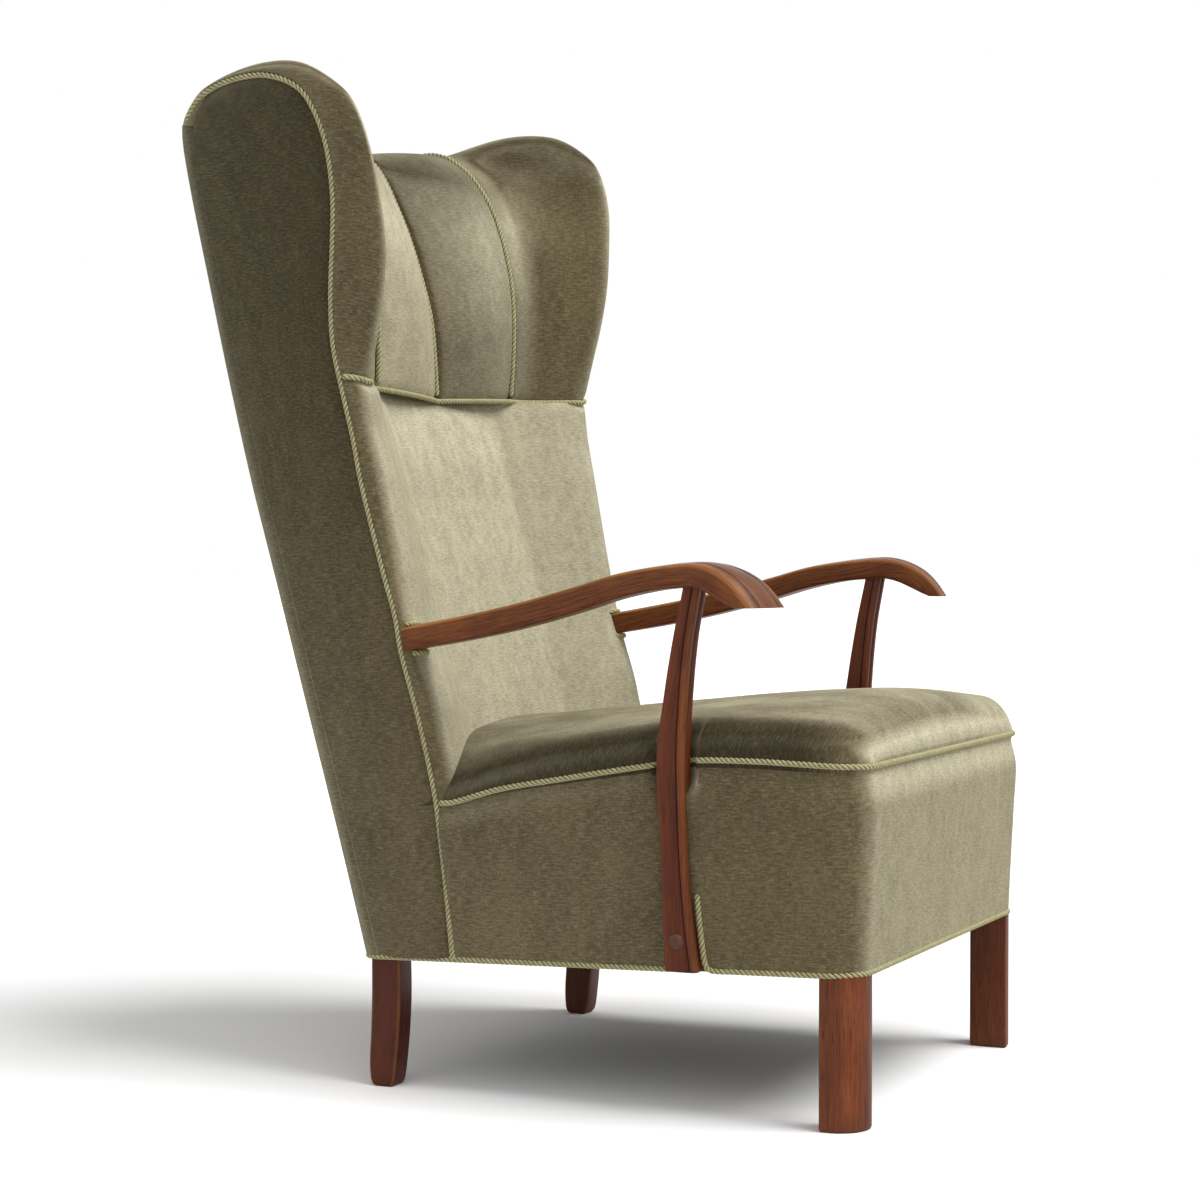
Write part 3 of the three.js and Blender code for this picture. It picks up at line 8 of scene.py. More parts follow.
import bpy
import numpy as np
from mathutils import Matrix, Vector


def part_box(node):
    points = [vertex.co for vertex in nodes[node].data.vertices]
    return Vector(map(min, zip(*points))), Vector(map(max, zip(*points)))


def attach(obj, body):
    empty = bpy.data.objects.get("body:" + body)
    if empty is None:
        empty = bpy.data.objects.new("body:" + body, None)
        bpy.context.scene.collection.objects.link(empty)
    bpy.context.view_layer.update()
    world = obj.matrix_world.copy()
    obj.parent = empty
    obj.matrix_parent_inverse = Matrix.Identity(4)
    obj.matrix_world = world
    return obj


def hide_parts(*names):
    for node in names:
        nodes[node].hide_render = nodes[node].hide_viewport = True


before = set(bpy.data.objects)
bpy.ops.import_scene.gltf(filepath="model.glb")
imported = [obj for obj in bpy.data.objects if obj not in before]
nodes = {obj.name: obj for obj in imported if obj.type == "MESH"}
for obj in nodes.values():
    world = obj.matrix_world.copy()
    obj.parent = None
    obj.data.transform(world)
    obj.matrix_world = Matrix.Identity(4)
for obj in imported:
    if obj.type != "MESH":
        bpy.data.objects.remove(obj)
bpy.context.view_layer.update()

# Sizes, as in the part's source but for LOWER_INSET, which lets the lower cord show

HEIGHT, DEPTH = 1120.0, 800.0
CLEAR = 0.3
SIDE, FLARE = 275.0, 56.0
COVER, REAR_RADIUS = 5.0, 25.0
BULGE, FLUTE, NOSE = 17.0, 0.56, 0.92
SEAT_FRONT_HALF, SEAT_RADIUS, SEAT_SEAM_Y = 284.0, 42.0, 72.0
SKIRT_FRONT, SKIRT_REAR = 158.0, 141.0
BORDER = 12.0
EDGE_RISE, EDGE_FALL = 38.0, 38.0
CANVAS = HEIGHT * 0.268
CORD = 3.0
LOWER_INSET = 5.2
POST_THICK, BEAD = 27.0, 6.6
POST_TOP_Z = HEIGHT * 0.5064
LEG_INSET, LEG_WIDTH, LEG_DEPTH, LEG_ROUND = 5.0, 41.0, 44.0, 33.0
UPRIGHT_WIDTH, UPRIGHT_DEPTH, CANVAS_THICK = 30.0, 45.0, 2.0
MM = 0.001

# From a depth of the source to a depth of the frame
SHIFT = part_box("front_leg_left")[0].y / MM + DEPTH / 2 + CORD - LEG_INSET

# Sizes that only the looks have

SEAT_REAR_Y = 166.0
REAR_BEND, TUCK_BLEND = 9.0, 9.0
CHANNEL_THICK, WING_THICK, BORDER_THICK, EDGE_THICK = 12.0, 9.0, 8.0, 3.0
ROPE_RADIUS, ROPE_PITCH, ROPE_STEP = CORD + 0.15, 17.0, 1.5

# Side outlines of the head, foot to rear at even steps: shares of the depth and the height

CENTRE = [(0.291, 0.6828), (0.295, 0.7279), (0.302, 0.7721), (0.32, 0.8192), (0.34, 0.8603), (0.36, 0.8924),
          (0.379, 0.9195), (0.398, 0.9375), (0.421, 0.948), (0.45, 0.947), (0.471, 0.932), (0.481, 0.9149)]
FLUTES = [(0.274, 0.6888), (0.271, 0.734), (0.271, 0.7781), (0.277, 0.8212), (0.291, 0.8623),
          (0.31, 0.8984), (0.335, 0.928), (0.365, 0.9505), (0.402, 0.9666), (0.44, 0.9691), (0.47, 0.9556),
          (0.484, 0.9325)]
NOSES = [(0.214, 0.6908), (0.2, 0.734), (0.186, 0.7781), (0.1785, 0.8212), (0.18, 0.8663), (0.187, 0.9129),
         (0.204, 0.9515), (0.231, 0.9756), (0.2895, 0.9987), (0.3625, 1), (0.4325, 0.9821), (0.4795, 0.954)]
HEAD_SEAM = [(0.239, 0.6949), (0.246, 0.734), (0.245, 0.7781), (0.239, 0.8232), (0.235, 0.8663),
             (0.24, 0.9124), (0.255, 0.9475), (0.278, 0.9726), (0.316, 0.9866), (0.362, 0.9896),
             (0.42, 0.9766), (0.47, 0.9465)]
# Along them: the channels' bulge, the nose's share of the half-width, the wing's sharpness

BULGES = [0.35, 0.85, 1, 1, 0.95, 0.85, 0.76, 0.55, 0.22, 0.18, 0.12, 0]
CRESTS = [0.92, 0.92, 0.92, 0.925, 0.94, 0.96, 0.962, 0.962, 0.957, 0.926, 0.923, 0.924]
POWERS = [3.5, 4.5, 5, 5.5, 5.5, 6.5, 7.5, 7.5, 4.5, 3.2, 2.3, 1.9]

# The back by height: its rear, its side seam, the lower pad's middle and its side rolls

REAR = [(0.1253, 0.23), (0.2396, 0.272), (0.378, 0.3235), (0.5164, 0.373), (0.5956, 0.401), (0.6959, 0.431),
        (0.8142, 0.462), (0.8743, 0.477), (0.9134, 0.485), (0.9335, 0.4875), (0.9525, 0.4845),
        (0.9686, 0.47)]
SEAM = [(0.1273, 0.08), (0.1995, 0.09), (0.2477, 0.098), (0.2858, 0.105), (0.3239, 0.116), (0.363, 0.129),
        (0.4011, 0.144), (0.4301, 0.155), (0.4642, 0.163), (0.4973, 0.176), (0.5465, 0.194), (0.5946, 0.21),
        (0.6327, 0.219), (0.6568, 0.226), (0.6949, 0.239)]
LOWER_CENTRE = [(0.2587, 0.119), (0.3038, 0.134), (0.357, 0.153), (0.4111, 0.174), (0.4642, 0.195),
                (0.5174, 0.216), (0.5715, 0.239), (0.6247, 0.26), (0.6828, 0.29)]
LOWER_NOSE = [(0.2587, 0.078), (0.3038, 0.09), (0.3479, 0.105), (0.381, 0.116), (0.4171, 0.133),
              (0.4572, 0.151), (0.5074, 0.165), (0.5535, 0.178), (0.5996, 0.191), (0.6467, 0.206),
              (0.6908, 0.214)]

# The seat's seam and crown by depth, and the border's inset and rise

SEAT_SEAM = [(-0.51, 0.3319), (-0.42, 0.3339), (-0.361, 0.3349), (-0.279, 0.3339), (-0.215, 0.3279),
             (-0.078, 0.3108), (0.011, 0.2988), (0.103, 0.2808), (0.25, 0.2707)]
SEAT_CROWN = [(-0.51, 0.377), (-0.462, 0.384), (-0.389, 0.3875), (-0.315, 0.385), (-0.225, 0.38),
              (-0.134, 0.373), (-0.04, 0.366), (0.1, 0.3549), (0.25, 0.3459)]
BORDER_LINE = [(0.35, 0), (0.12, 0.3), (-0.15, 0.6), (-0.33, 0.83), (0.1, 0.95), (0.3, 1)]

# The arm: depth and height above and below, both sides over SIDE, lag of the outer side

ARM = [(0.158, 0.4512, 0.1525, 0.4291, 0.909, 1.03, 0), (0.063, 0.4637, 0.065, 0.4397, 0.916, 1.044, 0),
       (-0.025, 0.4773, -0.022, 0.4527, 0.927, 1.058, 0), (-0.112, 0.4933, -0.109, 0.4693, 0.938, 1.08, 0),
       (-0.17, 0.5048, -0.165, 0.4813, 0.945, 1.098, 0),
       (-0.225, 0.5114, -0.222, 0.4898, 0.953, 1.107, 0.0032),
       (-0.272, 0.5149, -0.272, 0.4933, 0.956, 1.121, 0.008),
       (-0.306, 0.5149, -0.298, 0.4938, 0.956, 1.138, 0.0134),
       (-0.335, 0.5099, -0.319, 0.4903, 0.956, 1.151, 0.0181),
       (-0.36, 0.5008, -0.3375, 0.4848, 0.956, 1.16, 0.0209),
       (-0.379, 0.4883, -0.354, 0.4793, 0.956, 1.164, 0.0224),
       (-0.3925, 0.4753, -0.3675, 0.4753, 0.956, 1.164, 0.0224)]

# Rear and front of the arm post and of the rear leg, by height

ARM_POST = [(0, -0.239, -0.284), (0.127, -0.236, -0.275), (0.304, -0.2325, -0.268),
            (0.531, -0.2265, -0.264), (0.681, -0.236, -0.2675), (0.831, -0.249, -0.275),
            (0.954, -0.2625, -0.286), (1, -0.2675, -0.29)]
REAR_LEG = [(0, 0.216, 0.187), (0.007, 0.22, 0.183), (0.0271, 0.2215, 0.179), (0.0531, 0.2195, 0.1755),
            (0.0892, 0.218, 0.173), (0.1253, 0.218, 0.1735)]


# Curves

def lerp(a, b, t):
    return a + (b - a) * t


def smooth(t):
    """0 up to t = 0 and 1 from t = 1, with a soft S between."""
    t = np.clip(t, 0, 1)
    return t * t * (3 - 2 * t)


def curve(pairs, argument_size=1.0, value_size=1.0):
    """A smooth function through pairs of argument and value, straight beyond its ends."""
    known = np.array(pairs, float) * (argument_size, value_size)
    a, v = known[:, 0], known[:, 1]
    slope = np.gradient(v, a)
    slope[1:-1] = (v[2:] - v[:-2]) / (a[2:] - a[:-2])

    def value(x):
        x = np.asarray(x, float)
        inside = np.clip(x, a[0], a[-1])
        i = np.clip(np.searchsorted(a, inside, side="right") - 1, 0, len(a) - 2)
        span = a[i + 1] - a[i]
        t = (inside - a[i]) / span
        bent = ((2 * t**3 - 3 * t**2 + 1) * v[i] + (t**3 - 2 * t**2 + t) * span * slope[i]
                + (3 * t**2 - 2 * t**3) * v[i + 1] + (t**3 - t**2) * span * slope[i + 1])
        return bent + (x - inside) * np.where(x < inside, slope[0], slope[-1])
    return value


def evenly(values):
    """A smooth function of 0 to 1 through values at even steps."""
    return curve(np.column_stack([np.linspace(0, 1, len(values)), values]))


def outline(pairs):
    """Side-view outline as a function of u, 0 at the front foot and 1 at the rear top: depth and height.

    Its rear end bends down into the rear of the back.
    """
    places = np.array(pairs) * (DEPTH, HEIGHT)
    y, z = evenly(places[:, 0]), evenly(places[:, 1])
    return lambda u: np.stack([y(u), z(u) - REAR_BEND * np.clip((u - 0.92) / 0.08, 0, 1) ** 2], -1)


rear_y = curve(REAR, HEIGHT, DEPTH)
seam_y = curve(SEAM, HEIGHT, DEPTH)
lower_centre_y = curve(LOWER_CENTRE, HEIGHT, DEPTH)
lower_nose_y = curve(LOWER_NOSE, HEIGHT, DEPTH)
seat_seam_z = curve(SEAT_SEAM, DEPTH, HEIGHT)
seat_crown_z = curve(SEAT_CROWN, DEPTH, HEIGHT)
leg_rear_y = curve([(h, r) for h, r, _ in REAR_LEG], HEIGHT, DEPTH)
leg_front_y = curve([(h, f) for h, _, f in REAR_LEG], HEIGHT, DEPTH)
arm_top_z = curve([(s[0], s[1]) for s in reversed(ARM)], DEPTH, HEIGHT)
arm_low_z = curve([(s[2], s[3]) for s in reversed(ARM)], DEPTH, HEIGHT)
centre_line, flute_line, nose_line, seam_line = map(outline, (CENTRE, FLUTES, NOSES, HEAD_SEAM))
bulge_at, crest_at, power_at = map(evenly, (BULGES, CRESTS, POWERS))

SEAM_GAP = CORD + CLEAR
SEAT_FRONT_Y = -DEPTH / 2 - CORD
SEAT_CORNER_Y = SEAT_FRONT_Y + SEAT_RADIUS
REAR_FOOT_Y = rear_y(SKIRT_REAR)
FRAME_REAR = COVER + CLEAR
FRAME_FRONT = FRAME_REAR + UPRIGHT_DEPTH
PAD_REAR = FRAME_FRONT + CANVAS_THICK


def head_seam_line(u):
    """The seam line of the head, which runs into the nose line at the rear."""
    return lerp(seam_line(u), nose_line(u), 0.7 * smooth((u - 0.8) / 0.17)[..., None])


def skirt_z(y):
    """Height of the upholstery's foot at a depth."""
    return lerp(SKIRT_FRONT, SKIRT_REAR, (y - SEAT_FRONT_Y) / (REAR_FOOT_Y - SEAT_FRONT_Y))


def bottom_cord_z(y):
    return skirt_z(y) + CORD


def side_x(z):
    """Half-width of the back at a height."""
    return SIDE + FLARE * (np.maximum(z - SKIRT_REAR, 0) / (HEIGHT - SKIRT_REAR)) ** 2


def seat_half(y):
    """Half-width of the seat at a depth."""
    t = np.clip((y - SEAT_FRONT_Y) / (SEAT_SEAM_Y - SEAT_FRONT_Y), 0, 1)
    return lerp(SEAT_FRONT_HALF, side_x(seat_seam_z(SEAT_SEAM_Y)), t)


def outward(line, u):
    """Outward direction of a side-view outline at u."""
    step = 0.004
    along = line(np.minimum(u + step, 1)) - line(np.maximum(u - step, 0))
    along /= np.linalg.norm(along, axis=-1, keepdims=True)
    return np.stack([-along[..., 1], along[..., 0]], -1)


def channel_at(t, u):
    """Share of the half-width and side-view points of a head channel, t from the centre to its seam."""
    bulge = BULGE * bulge_at(u) * math.sin(math.pi * t) ** 0.8
    points = lerp(centre_line(u), flute_line(u), t) + outward(centre_line, u) * bulge[..., None]
    return np.full_like(u, FLUTE * t), points


def wing_at(t, u):
    """The same from the channel's seam to the nose of the wing."""
    forward = math.sin(math.pi * t / 2) ** power_at(u)
    return lerp(FLUTE, crest_at(u), t), lerp(flute_line(u), nose_line(u), forward[..., None])


def roll_at(t, u):
    """The same from the nose round to the side seam."""
    return lerp(crest_at(u), 1.0, t), lerp(head_seam_line(u), nose_line(u), math.sqrt(1 - t * t))


def head_at(share, u):
    """Depth and height of the head of the back at one place."""
    u = np.array([float(u)])
    crest = crest_at(u)[0]
    if share <= FLUTE:
        return channel_at(share / FLUTE, u)[1][0]
    if share <= crest:
        return wing_at((share - FLUTE) / (crest - FLUTE), u)[1][0]
    return roll_at(min((share - crest) / (1 - crest), 1), u)[1][0]


def head_foot_z(share):
    """Height of the seam under the head at a share of the half-width."""
    if share <= NOSE:
        return head_at(share, 0)[1]
    return lerp(NOSES[0][1], HEAD_SEAM[0][1], min((share - NOSE) / (1 - NOSE), 1)) * HEIGHT


def lower_back_y(share, z):
    """Depth of the lower back pad at a share of the half-width."""
    if share <= NOSE:
        return lerp(lower_centre_y(z), lower_nose_y(z), smooth((share / NOSE - 0.43) / 0.57))
    t = min((share - NOSE) / (1 - NOSE), 1)
    return lerp(seam_y(z), lower_nose_y(z), math.sqrt(1 - t * t))


def ends_dense(count, low=0.0, high=1.0):
    """Numbers from low to high that crowd towards both."""
    return lerp(low, high, (1 - np.cos(np.linspace(0, math.pi, count))) / 2)


# Where the arm posts stand and where the seat's cord tucks in beside them

TUCK_Y = (ARM_POST[3][1] + ARM_POST[3][2]) / 2 * DEPTH
POST_MIDDLE_Y = (ARM_POST[0][1] + ARM_POST[0][2]) / 2 * DEPTH
POST_INNER_X = seat_half(POST_MIDDLE_Y) - BORDER
POST_OUTER_X = POST_INNER_X + POST_THICK
POST_FOOT_Z = bottom_cord_z(POST_MIDDLE_Y)
POST_LEVELS = [(lerp(POST_FOOT_Z, POST_TOP_Z, up), rear * DEPTH, front * DEPTH)
               for up, rear, front in ARM_POST]
post_rear_y = curve([(z, rear) for z, rear, _ in POST_LEVELS])
post_front_y = curve([(z, front) for z, _, front in POST_LEVELS])


def cord_tuck(y):
    """How far the seat's cord is pinched in beside an arm post."""
    away = np.abs(y - TUCK_Y) / TUCK_BLEND - 2
    return (seat_half(y) - (POST_INNER_X - 2 * CLEAR - CORD)) * (1 - smooth(away))


# Meshes

def place(points):
    """Points in millimetres as places in the frame, in metres."""
    return (np.asarray(points, float) + (0, SHIFT, 0)) * MM


def add_object(name, verts, faces, uvs, material, sharp=40, tones=None):
    """An object in the scene. Tones are values at its vertices for the material."""
    mesh = bpy.data.meshes.new(name)
    mesh.from_pydata(place(verts).tolist(), [], [list(map(int, f)) for f in faces])
    layer = mesh.uv_layers.new(name="UVMap")
    loops = np.empty(len(mesh.loops), int)
    mesh.loops.foreach_get("vertex_index", loops)
    layer.data.foreach_set("uv", (np.asarray(uvs)[loops] * MM).ravel())
    for key, values in (tones or {}).items():
        mesh.attributes.new(key, "FLOAT", "POINT").data.foreach_set("value", np.ravel(values))
    mesh.validate()
    mesh.polygons.foreach_set("use_smooth", [True] * len(mesh.polygons))
    mesh.set_sharp_from_angle(angle=math.radians(sharp))
    obj = bpy.data.objects.new(name, mesh)
    bpy.context.scene.collection.objects.link(obj)
    mesh.materials.append(material)
    return obj


def signed_volume(verts, faces):
    """Six times the volume inside quads, above 0 if they look outward."""
    p, q, r, s = (verts[np.asarray(faces)[:, k]] for k in (0, 1, 2, -1))
    return np.einsum("ij,ij->", p, np.cross(q, r)) + np.einsum("ij,ij->", p, np.cross(r, s))


def run_lengths(grid, axis):
    """Distances run along one axis of a point grid."""
    steps = np.linalg.norm(np.diff(grid, axis=axis), axis=-1)
    zero = np.zeros_like(np.take(steps, [0], axis=axis))
    return np.concatenate([zero, np.cumsum(steps, axis=axis)], axis=axis)


def cover(name, face, back, tones=None, node=None):
    """A closed velour cover between two point grids. The weave follows their rows and columns."""
    rows, columns = face.shape[:2]
    half = rows * columns
    verts = np.concatenate([face.reshape(-1, 3), back.reshape(-1, 3)])
    at = np.arange(half).reshape(rows, columns)
    a, b, c, d = (g.ravel() for g in (at[:-1, :-1], at[:-1, 1:], at[1:, 1:], at[1:, :-1]))
    parts = [np.stack([a, b, c, d], -1), np.stack([d, c, b, a], -1) + half]
    for edge, turn in ((at[:, 0], 1), (at[:, -1], -1), (at[0], -1), (at[-1], 1)):
        wall = np.stack([edge[:-1], edge[1:], edge[1:] + half, edge[:-1] + half], -1)
        parts.append(wall[:, ::turn])
    faces = np.concatenate(parts)
    if signed_volume(verts, faces) < 0:
        faces = faces[:, ::-1]
    across, up = run_lengths(face, 1), run_lengths(face, 0)
    across = across - across[:, columns // 2:columns // 2 + 1]
    uv = np.stack([across, up], -1).reshape(-1, 2)
    piece = add_object(f"{name}_cover", verts, faces, np.concatenate([uv, uv]), velour, tones=tones)
    dress(piece, node or name)


def rings(name, loops, material, **options):
    """A body through closed rings, its ends capped. The grain runs along it."""
    loops = np.asarray(loops, float)
    count, size = loops.shape[:2]
    verts = loops.reshape(-1, 3)
    at = np.arange(count * size).reshape(count, size)
    near, far = np.roll(at, -1, axis=1)[:-1], np.roll(at, -1, axis=1)[1:]
    quads = np.stack([at[:-1], near, far, at[1:]], -1).reshape(-1, 4)
    caps = [at[0][::-1].tolist(), at[-1].tolist()]
    if signed_volume(verts, quads) < 0:
        quads, caps = quads[:, ::-1], [cap[::-1] for cap in caps]
    along = run_lengths(loops, 0).mean(axis=1, keepdims=True) * np.ones((1, size))
    uv = np.stack([along, run_lengths(loops, 1)], -1).reshape(-1, 2)
    return add_object(name, verts, quads.tolist() + caps, uv, material, **options)


def dress(obj, replaced):
    """What a piece replaces: the piece goes under the root and the part it replaces is hidden."""
    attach(obj, "root")
    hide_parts(replaced)


# Materials

def rgb(code):
    """A colour as it looks on screen, as linear values."""
    part = [int(code[i:i + 2], 16) / 255 for i in (0, 2, 4)]
    return tuple(c / 12.92 if c <= 0.04045 else ((c + 0.055) / 1.055) ** 2.4 for c in part) + (1.0,)


class Nodes:
    """Short names for making a material's nodes."""

    def __init__(self, name):
        self.material = bpy.data.materials.new(name)
        self.material.use_nodes = True
        self.tree = self.material.node_tree
        self.shader = next(n for n in self.tree.nodes if n.type == "BSDF_PRINCIPLED")

    def add(self, kind, **values):
        node = self.tree.nodes.new("ShaderNode" + kind)
        for key, value in values.items():
            setattr(node, key, value)
        return node

    def feed(self, socket, value):
        """A constant on the socket, or a link into it."""
        if isinstance(value, (int, float, tuple)):
            socket.default_value = value
        else:
            self.tree.links.new(value, socket)

    def set(self, **values):
        for key, value in values.items():
            self.shader.inputs[key.replace("_", " ")].default_value = value

    def noise(self, kind, scale, detail, rough, distortion=0.0):
        """A texture from 0 to 1, its scale in spots per metre along each axis."""
        mapping = self.add("Mapping")
        mapping.inputs["Scale"].default_value = scale
        self.feed(mapping.inputs["Vector"], self.add("TexCoord").outputs[kind])
        texture = self.add("TexNoise")
        self.feed(texture.inputs["Vector"], mapping.outputs["Vector"])
        values = {"Scale": 1.0, "Detail": detail, "Roughness": rough, "Distortion": distortion}
        for key, value in values.items():
            texture.inputs[key].default_value = value
        return self.range(texture.outputs["Fac"], 0.3, 0.7)

    def range(self, value, a, b, low=0.0, high=1.0):
        node = self.add("MapRange", clamp=True)
        self.feed(node.inputs["Value"], value)
        for key, number in zip(("From Min", "From Max", "To Min", "To Max"), (a, b, low, high)):
            node.inputs[key].default_value = number
        return node.outputs["Result"]

    def math(self, operation, a, b):
        node = self.add("Math", operation=operation)
        for socket, value in zip(node.inputs, (a, b)):
            self.feed(socket, value)
        return node.outputs[0]

    def times(self, a, b):
        return self.math("MULTIPLY", a, b)

    def mix(self, factor, a, b):
        node = self.add("Mix", data_type="RGBA")
        for index, value in ((0, factor), (6, a), (7, b)):
            self.feed(node.inputs[index], value)
        return node.outputs[2]

    def tone(self, name):
        """A value stored on the mesh, 0 where a mesh has none."""
        return self.add("Attribute", attribute_name=name).outputs["Fac"]

    def upward(self):
        """1 on level surfaces that look up, 0 on upright ones and below."""
        split = self.add("SeparateXYZ")
        self.feed(split.inputs[0], self.add("NewGeometry").outputs["Normal"])
        return self.range(split.outputs["Z"], 0.0, 1.0)

    def facing(self, blend):
        node = self.add("LayerWeight")
        node.inputs["Blend"].default_value = blend
        return node.outputs["Facing"]

    def finish(self, colour, rough=None, bump=None):
        """The finished material. Its bump is a height, a strength and a depth in metres."""
        self.feed(self.shader.inputs["Base Color"], colour)
        if rough is not None:
            self.feed(self.shader.inputs["Roughness"], rough)
        if bump is not None:
            node = self.add("Bump")
            for key, value in zip(("Height", "Strength", "Distance"), bump):
                self.feed(node.inputs[key], value)
            self.feed(self.shader.inputs["Normal"], node.outputs["Normal"])
        return self.material


def velour_material():
    """Short pile on a slubby ground with a painted sheen: dark seen from the front, pale seen along the pile.
    Painted shade where the shade tone says.
    """
    n = Nodes("velour")
    slub = n.noise("UV", (100, 480, 1), 3.0, 0.62)
    thread = n.noise("UV", (240, 1000, 1), 2.0, 0.6)
    warp = n.noise("UV", (620, 120, 1), 2.0, 0.55)
    streak = n.noise("UV", (34, 3.5, 1), 3.0, 0.55, 0.4)
    crush = n.noise("Object", (10, 10, 6), 4.0, 0.62)
    mottle = n.noise("Object", (60, 60, 60), 3.0, 0.6)
    pile = n.noise("Object", (900, 900, 900), 1.0, 0.5)

    # The ground, with its crushed places, threads and single fibres, and painted shade where the shade tone
    # says
    base = n.mix(crush, rgb("625840"), rgb("857859"))
    base = n.mix(n.times(n.tone("shade"), 0.6), base, rgb("40382a"))
    base = n.mix(n.times(n.range(streak, 0.5, 1.0), 0.25), base, rgb("8b8061"))
    base = n.mix(n.times(n.range(mottle, 0.4, 1.0), 0.3), base, rgb("8b8061"))
    weft = n.math("ADD", n.times(slub, 0.55), n.times(thread, 0.45))
    base = n.mix(n.times(n.range(weft, 0.5, 0.74), 0.40), base, rgb("aca283"))
    base = n.mix(n.times(n.range(weft, 0.47, 0.22), 0.48), base, rgb("3a3221"))
    base = n.mix(n.times(n.range(warp, 0.53, 0.8), 0.3), base, rgb("4a422e"))
    base = n.mix(n.times(pile, 0.3), base, rgb("544b35"))
    # More painted shade where the shade tone says, over the threads and fibres
    base = n.mix(n.times(n.tone("shade"), 0.6), base, rgb("2a2417"))

    # Painted sheen: how much of the pale pile shows, on upright cloth and on level cloth seen at a low angle,
    # more where the painted sheen tone says and less in painted shade
    level = n.upward()
    facing = n.facing(0.45)
    upright = n.times(n.range(facing, 0.08, 0.50, 0.0, 0.93), n.range(level, 0.0, 0.33, 0.44, 1.0))
    lying = n.times(n.range(facing, 0.40, 0.97, 0.0, 0.93), n.range(crush, 0.25, 0.8, 0.45, 0.86))
    is_level = n.range(level, 0.38, 0.62)
    along = n.math("ADD", n.times(upright, n.math("SUBTRACT", 1.0, is_level)), n.times(lying, is_level))
    along = n.math("MAXIMUM", along, n.times(n.tone("painted_sheen"), 0.66))
    ground = n.math("ADD", n.times(streak, 0.14), n.math("ADD", n.times(weft, 0.62), n.times(mottle, 0.24)))
    along = n.times(along, n.range(ground, 0.3, 0.68, 0.6, 1.0))
    along = n.times(along, n.range(n.tone("shade"), 0.0, 1.0, 1.0, 0.45))
    # Painted sheen: the pale colour where the pile is taken to show pale
    colour = n.mix(along, base, rgb("e9e2c2"))
    height = n.math("ADD", n.times(weft, 0.8), n.times(pile, 0.3))
    n.set(Sheen_Weight=0.25, Sheen_Roughness=0.4, Sheen_Tint=rgb("dcd6b0"))
    n.set(Specular_IOR_Level=0.1, Roughness=0.95)
    return n.finish(colour, bump=(height, 0.4, 0.0009))


def cord_material():
    """Twisted yarn in two tones, finer fibres along each strand, and painted shade in the hollows between
    strands.
    """
    n = Nodes("cord_yarn")
    fibre = n.noise("UV", (120, 2600, 1), 2.0, 0.6)
    base = n.mix(n.noise("UV", (60, 120, 1), 2.0, 0.5), rgb("c3bd88"), rgb("dfd9ae"))
    base = n.mix(n.times(fibre, 0.3), base, rgb("a09b66"))
    # Painted shade in the hollows between the strands
    colour = n.mix(n.tone("groove"), base, rgb("4d4628"))
    n.set(Sheen_Weight=0.25, Sheen_Roughness=0.4, Sheen_Tint=rgb("e6e3c0"))
    n.set(Specular_IOR_Level=0.25, Roughness=0.75)
    return n.finish(colour, bump=(fibre, 0.4, 0.0003))


def wood_material(name, dark, mid, light, gloss, pores=0.7):
    """Open-grained timber, worn pale on its edges, and darker where a piece's painted shade tone says."""
    n = Nodes(name)
    broad = n.noise("UV", (3.5, 95, 1), 4.0, 0.65, 0.6)
    fine = n.noise("UV", (16, 520, 1), 3.0, 0.7)
    pore = n.range(n.noise("UV", (45, 1100, 1), 1.0, 0.5), 0.30, 0.0)
    wear = n.noise("Object", (9, 9, 9), 3.0, 0.6)
    base = n.mix(broad, rgb(dark), rgb(mid))
    base = n.mix(n.times(n.range(fine, 0.35, 1.0), 0.5), base, rgb(light))
    base = n.mix(n.times(n.range(wear, 0.5, 1.0), 0.3), base, rgb(light))
    rubbed = n.times(n.tone("worn"), n.range(wear, 0.0, 0.7, 0.45, 1.0))
    base = n.mix(rubbed, base, rgb("b0743a"))
    base = n.mix(n.times(pore, pores), base, rgb("2c140c"))
    # Painted shade where a piece's tone says
    colour = n.mix(n.times(n.tone("groove"), 0.85), base, rgb("24100a"))
    uneven = n.math("ADD", n.times(fine, 0.5), n.times(wear, 0.5))
    rough = n.range(uneven, 0.0, 1.0, gloss - 0.08, gloss + 0.12)
    height = n.math("SUBTRACT", n.times(fine, 0.35), n.times(pore, 0.8))
    n.set(Coat_Weight=0.08, Coat_Roughness=0.2, Specular_IOR_Level=0.22)
    return n.finish(colour, rough, (height, 0.3, 0.0004))


def rough_material(name, dark, light, scale, roughness, strength):
    """Sawn timber or coarse weave inside the upholstery."""
    n = Nodes(name)
    broad = n.noise("Object", scale, 3.0, 0.6)
    fine = n.noise("Object", tuple(9 * s for s in scale), 3.0, 0.6)
    both = n.math("ADD", n.times(broad, 0.5), n.times(fine, 0.5))
    n.set(Roughness=roughness)
    return n.finish(n.mix(both, rgb(dark), rgb(light)), bump=(fine, strength, 0.0006))


def steel_material():
    n = Nodes("spring_steel")
    stain = n.noise("Object", (90, 90, 90), 3.0, 0.6)
    n.set(Metallic=0.9)
    return n.finish(n.mix(stain, rgb("6b645c"), rgb("8c867e")), n.range(stain, 0, 1, 0.32, 0.55))


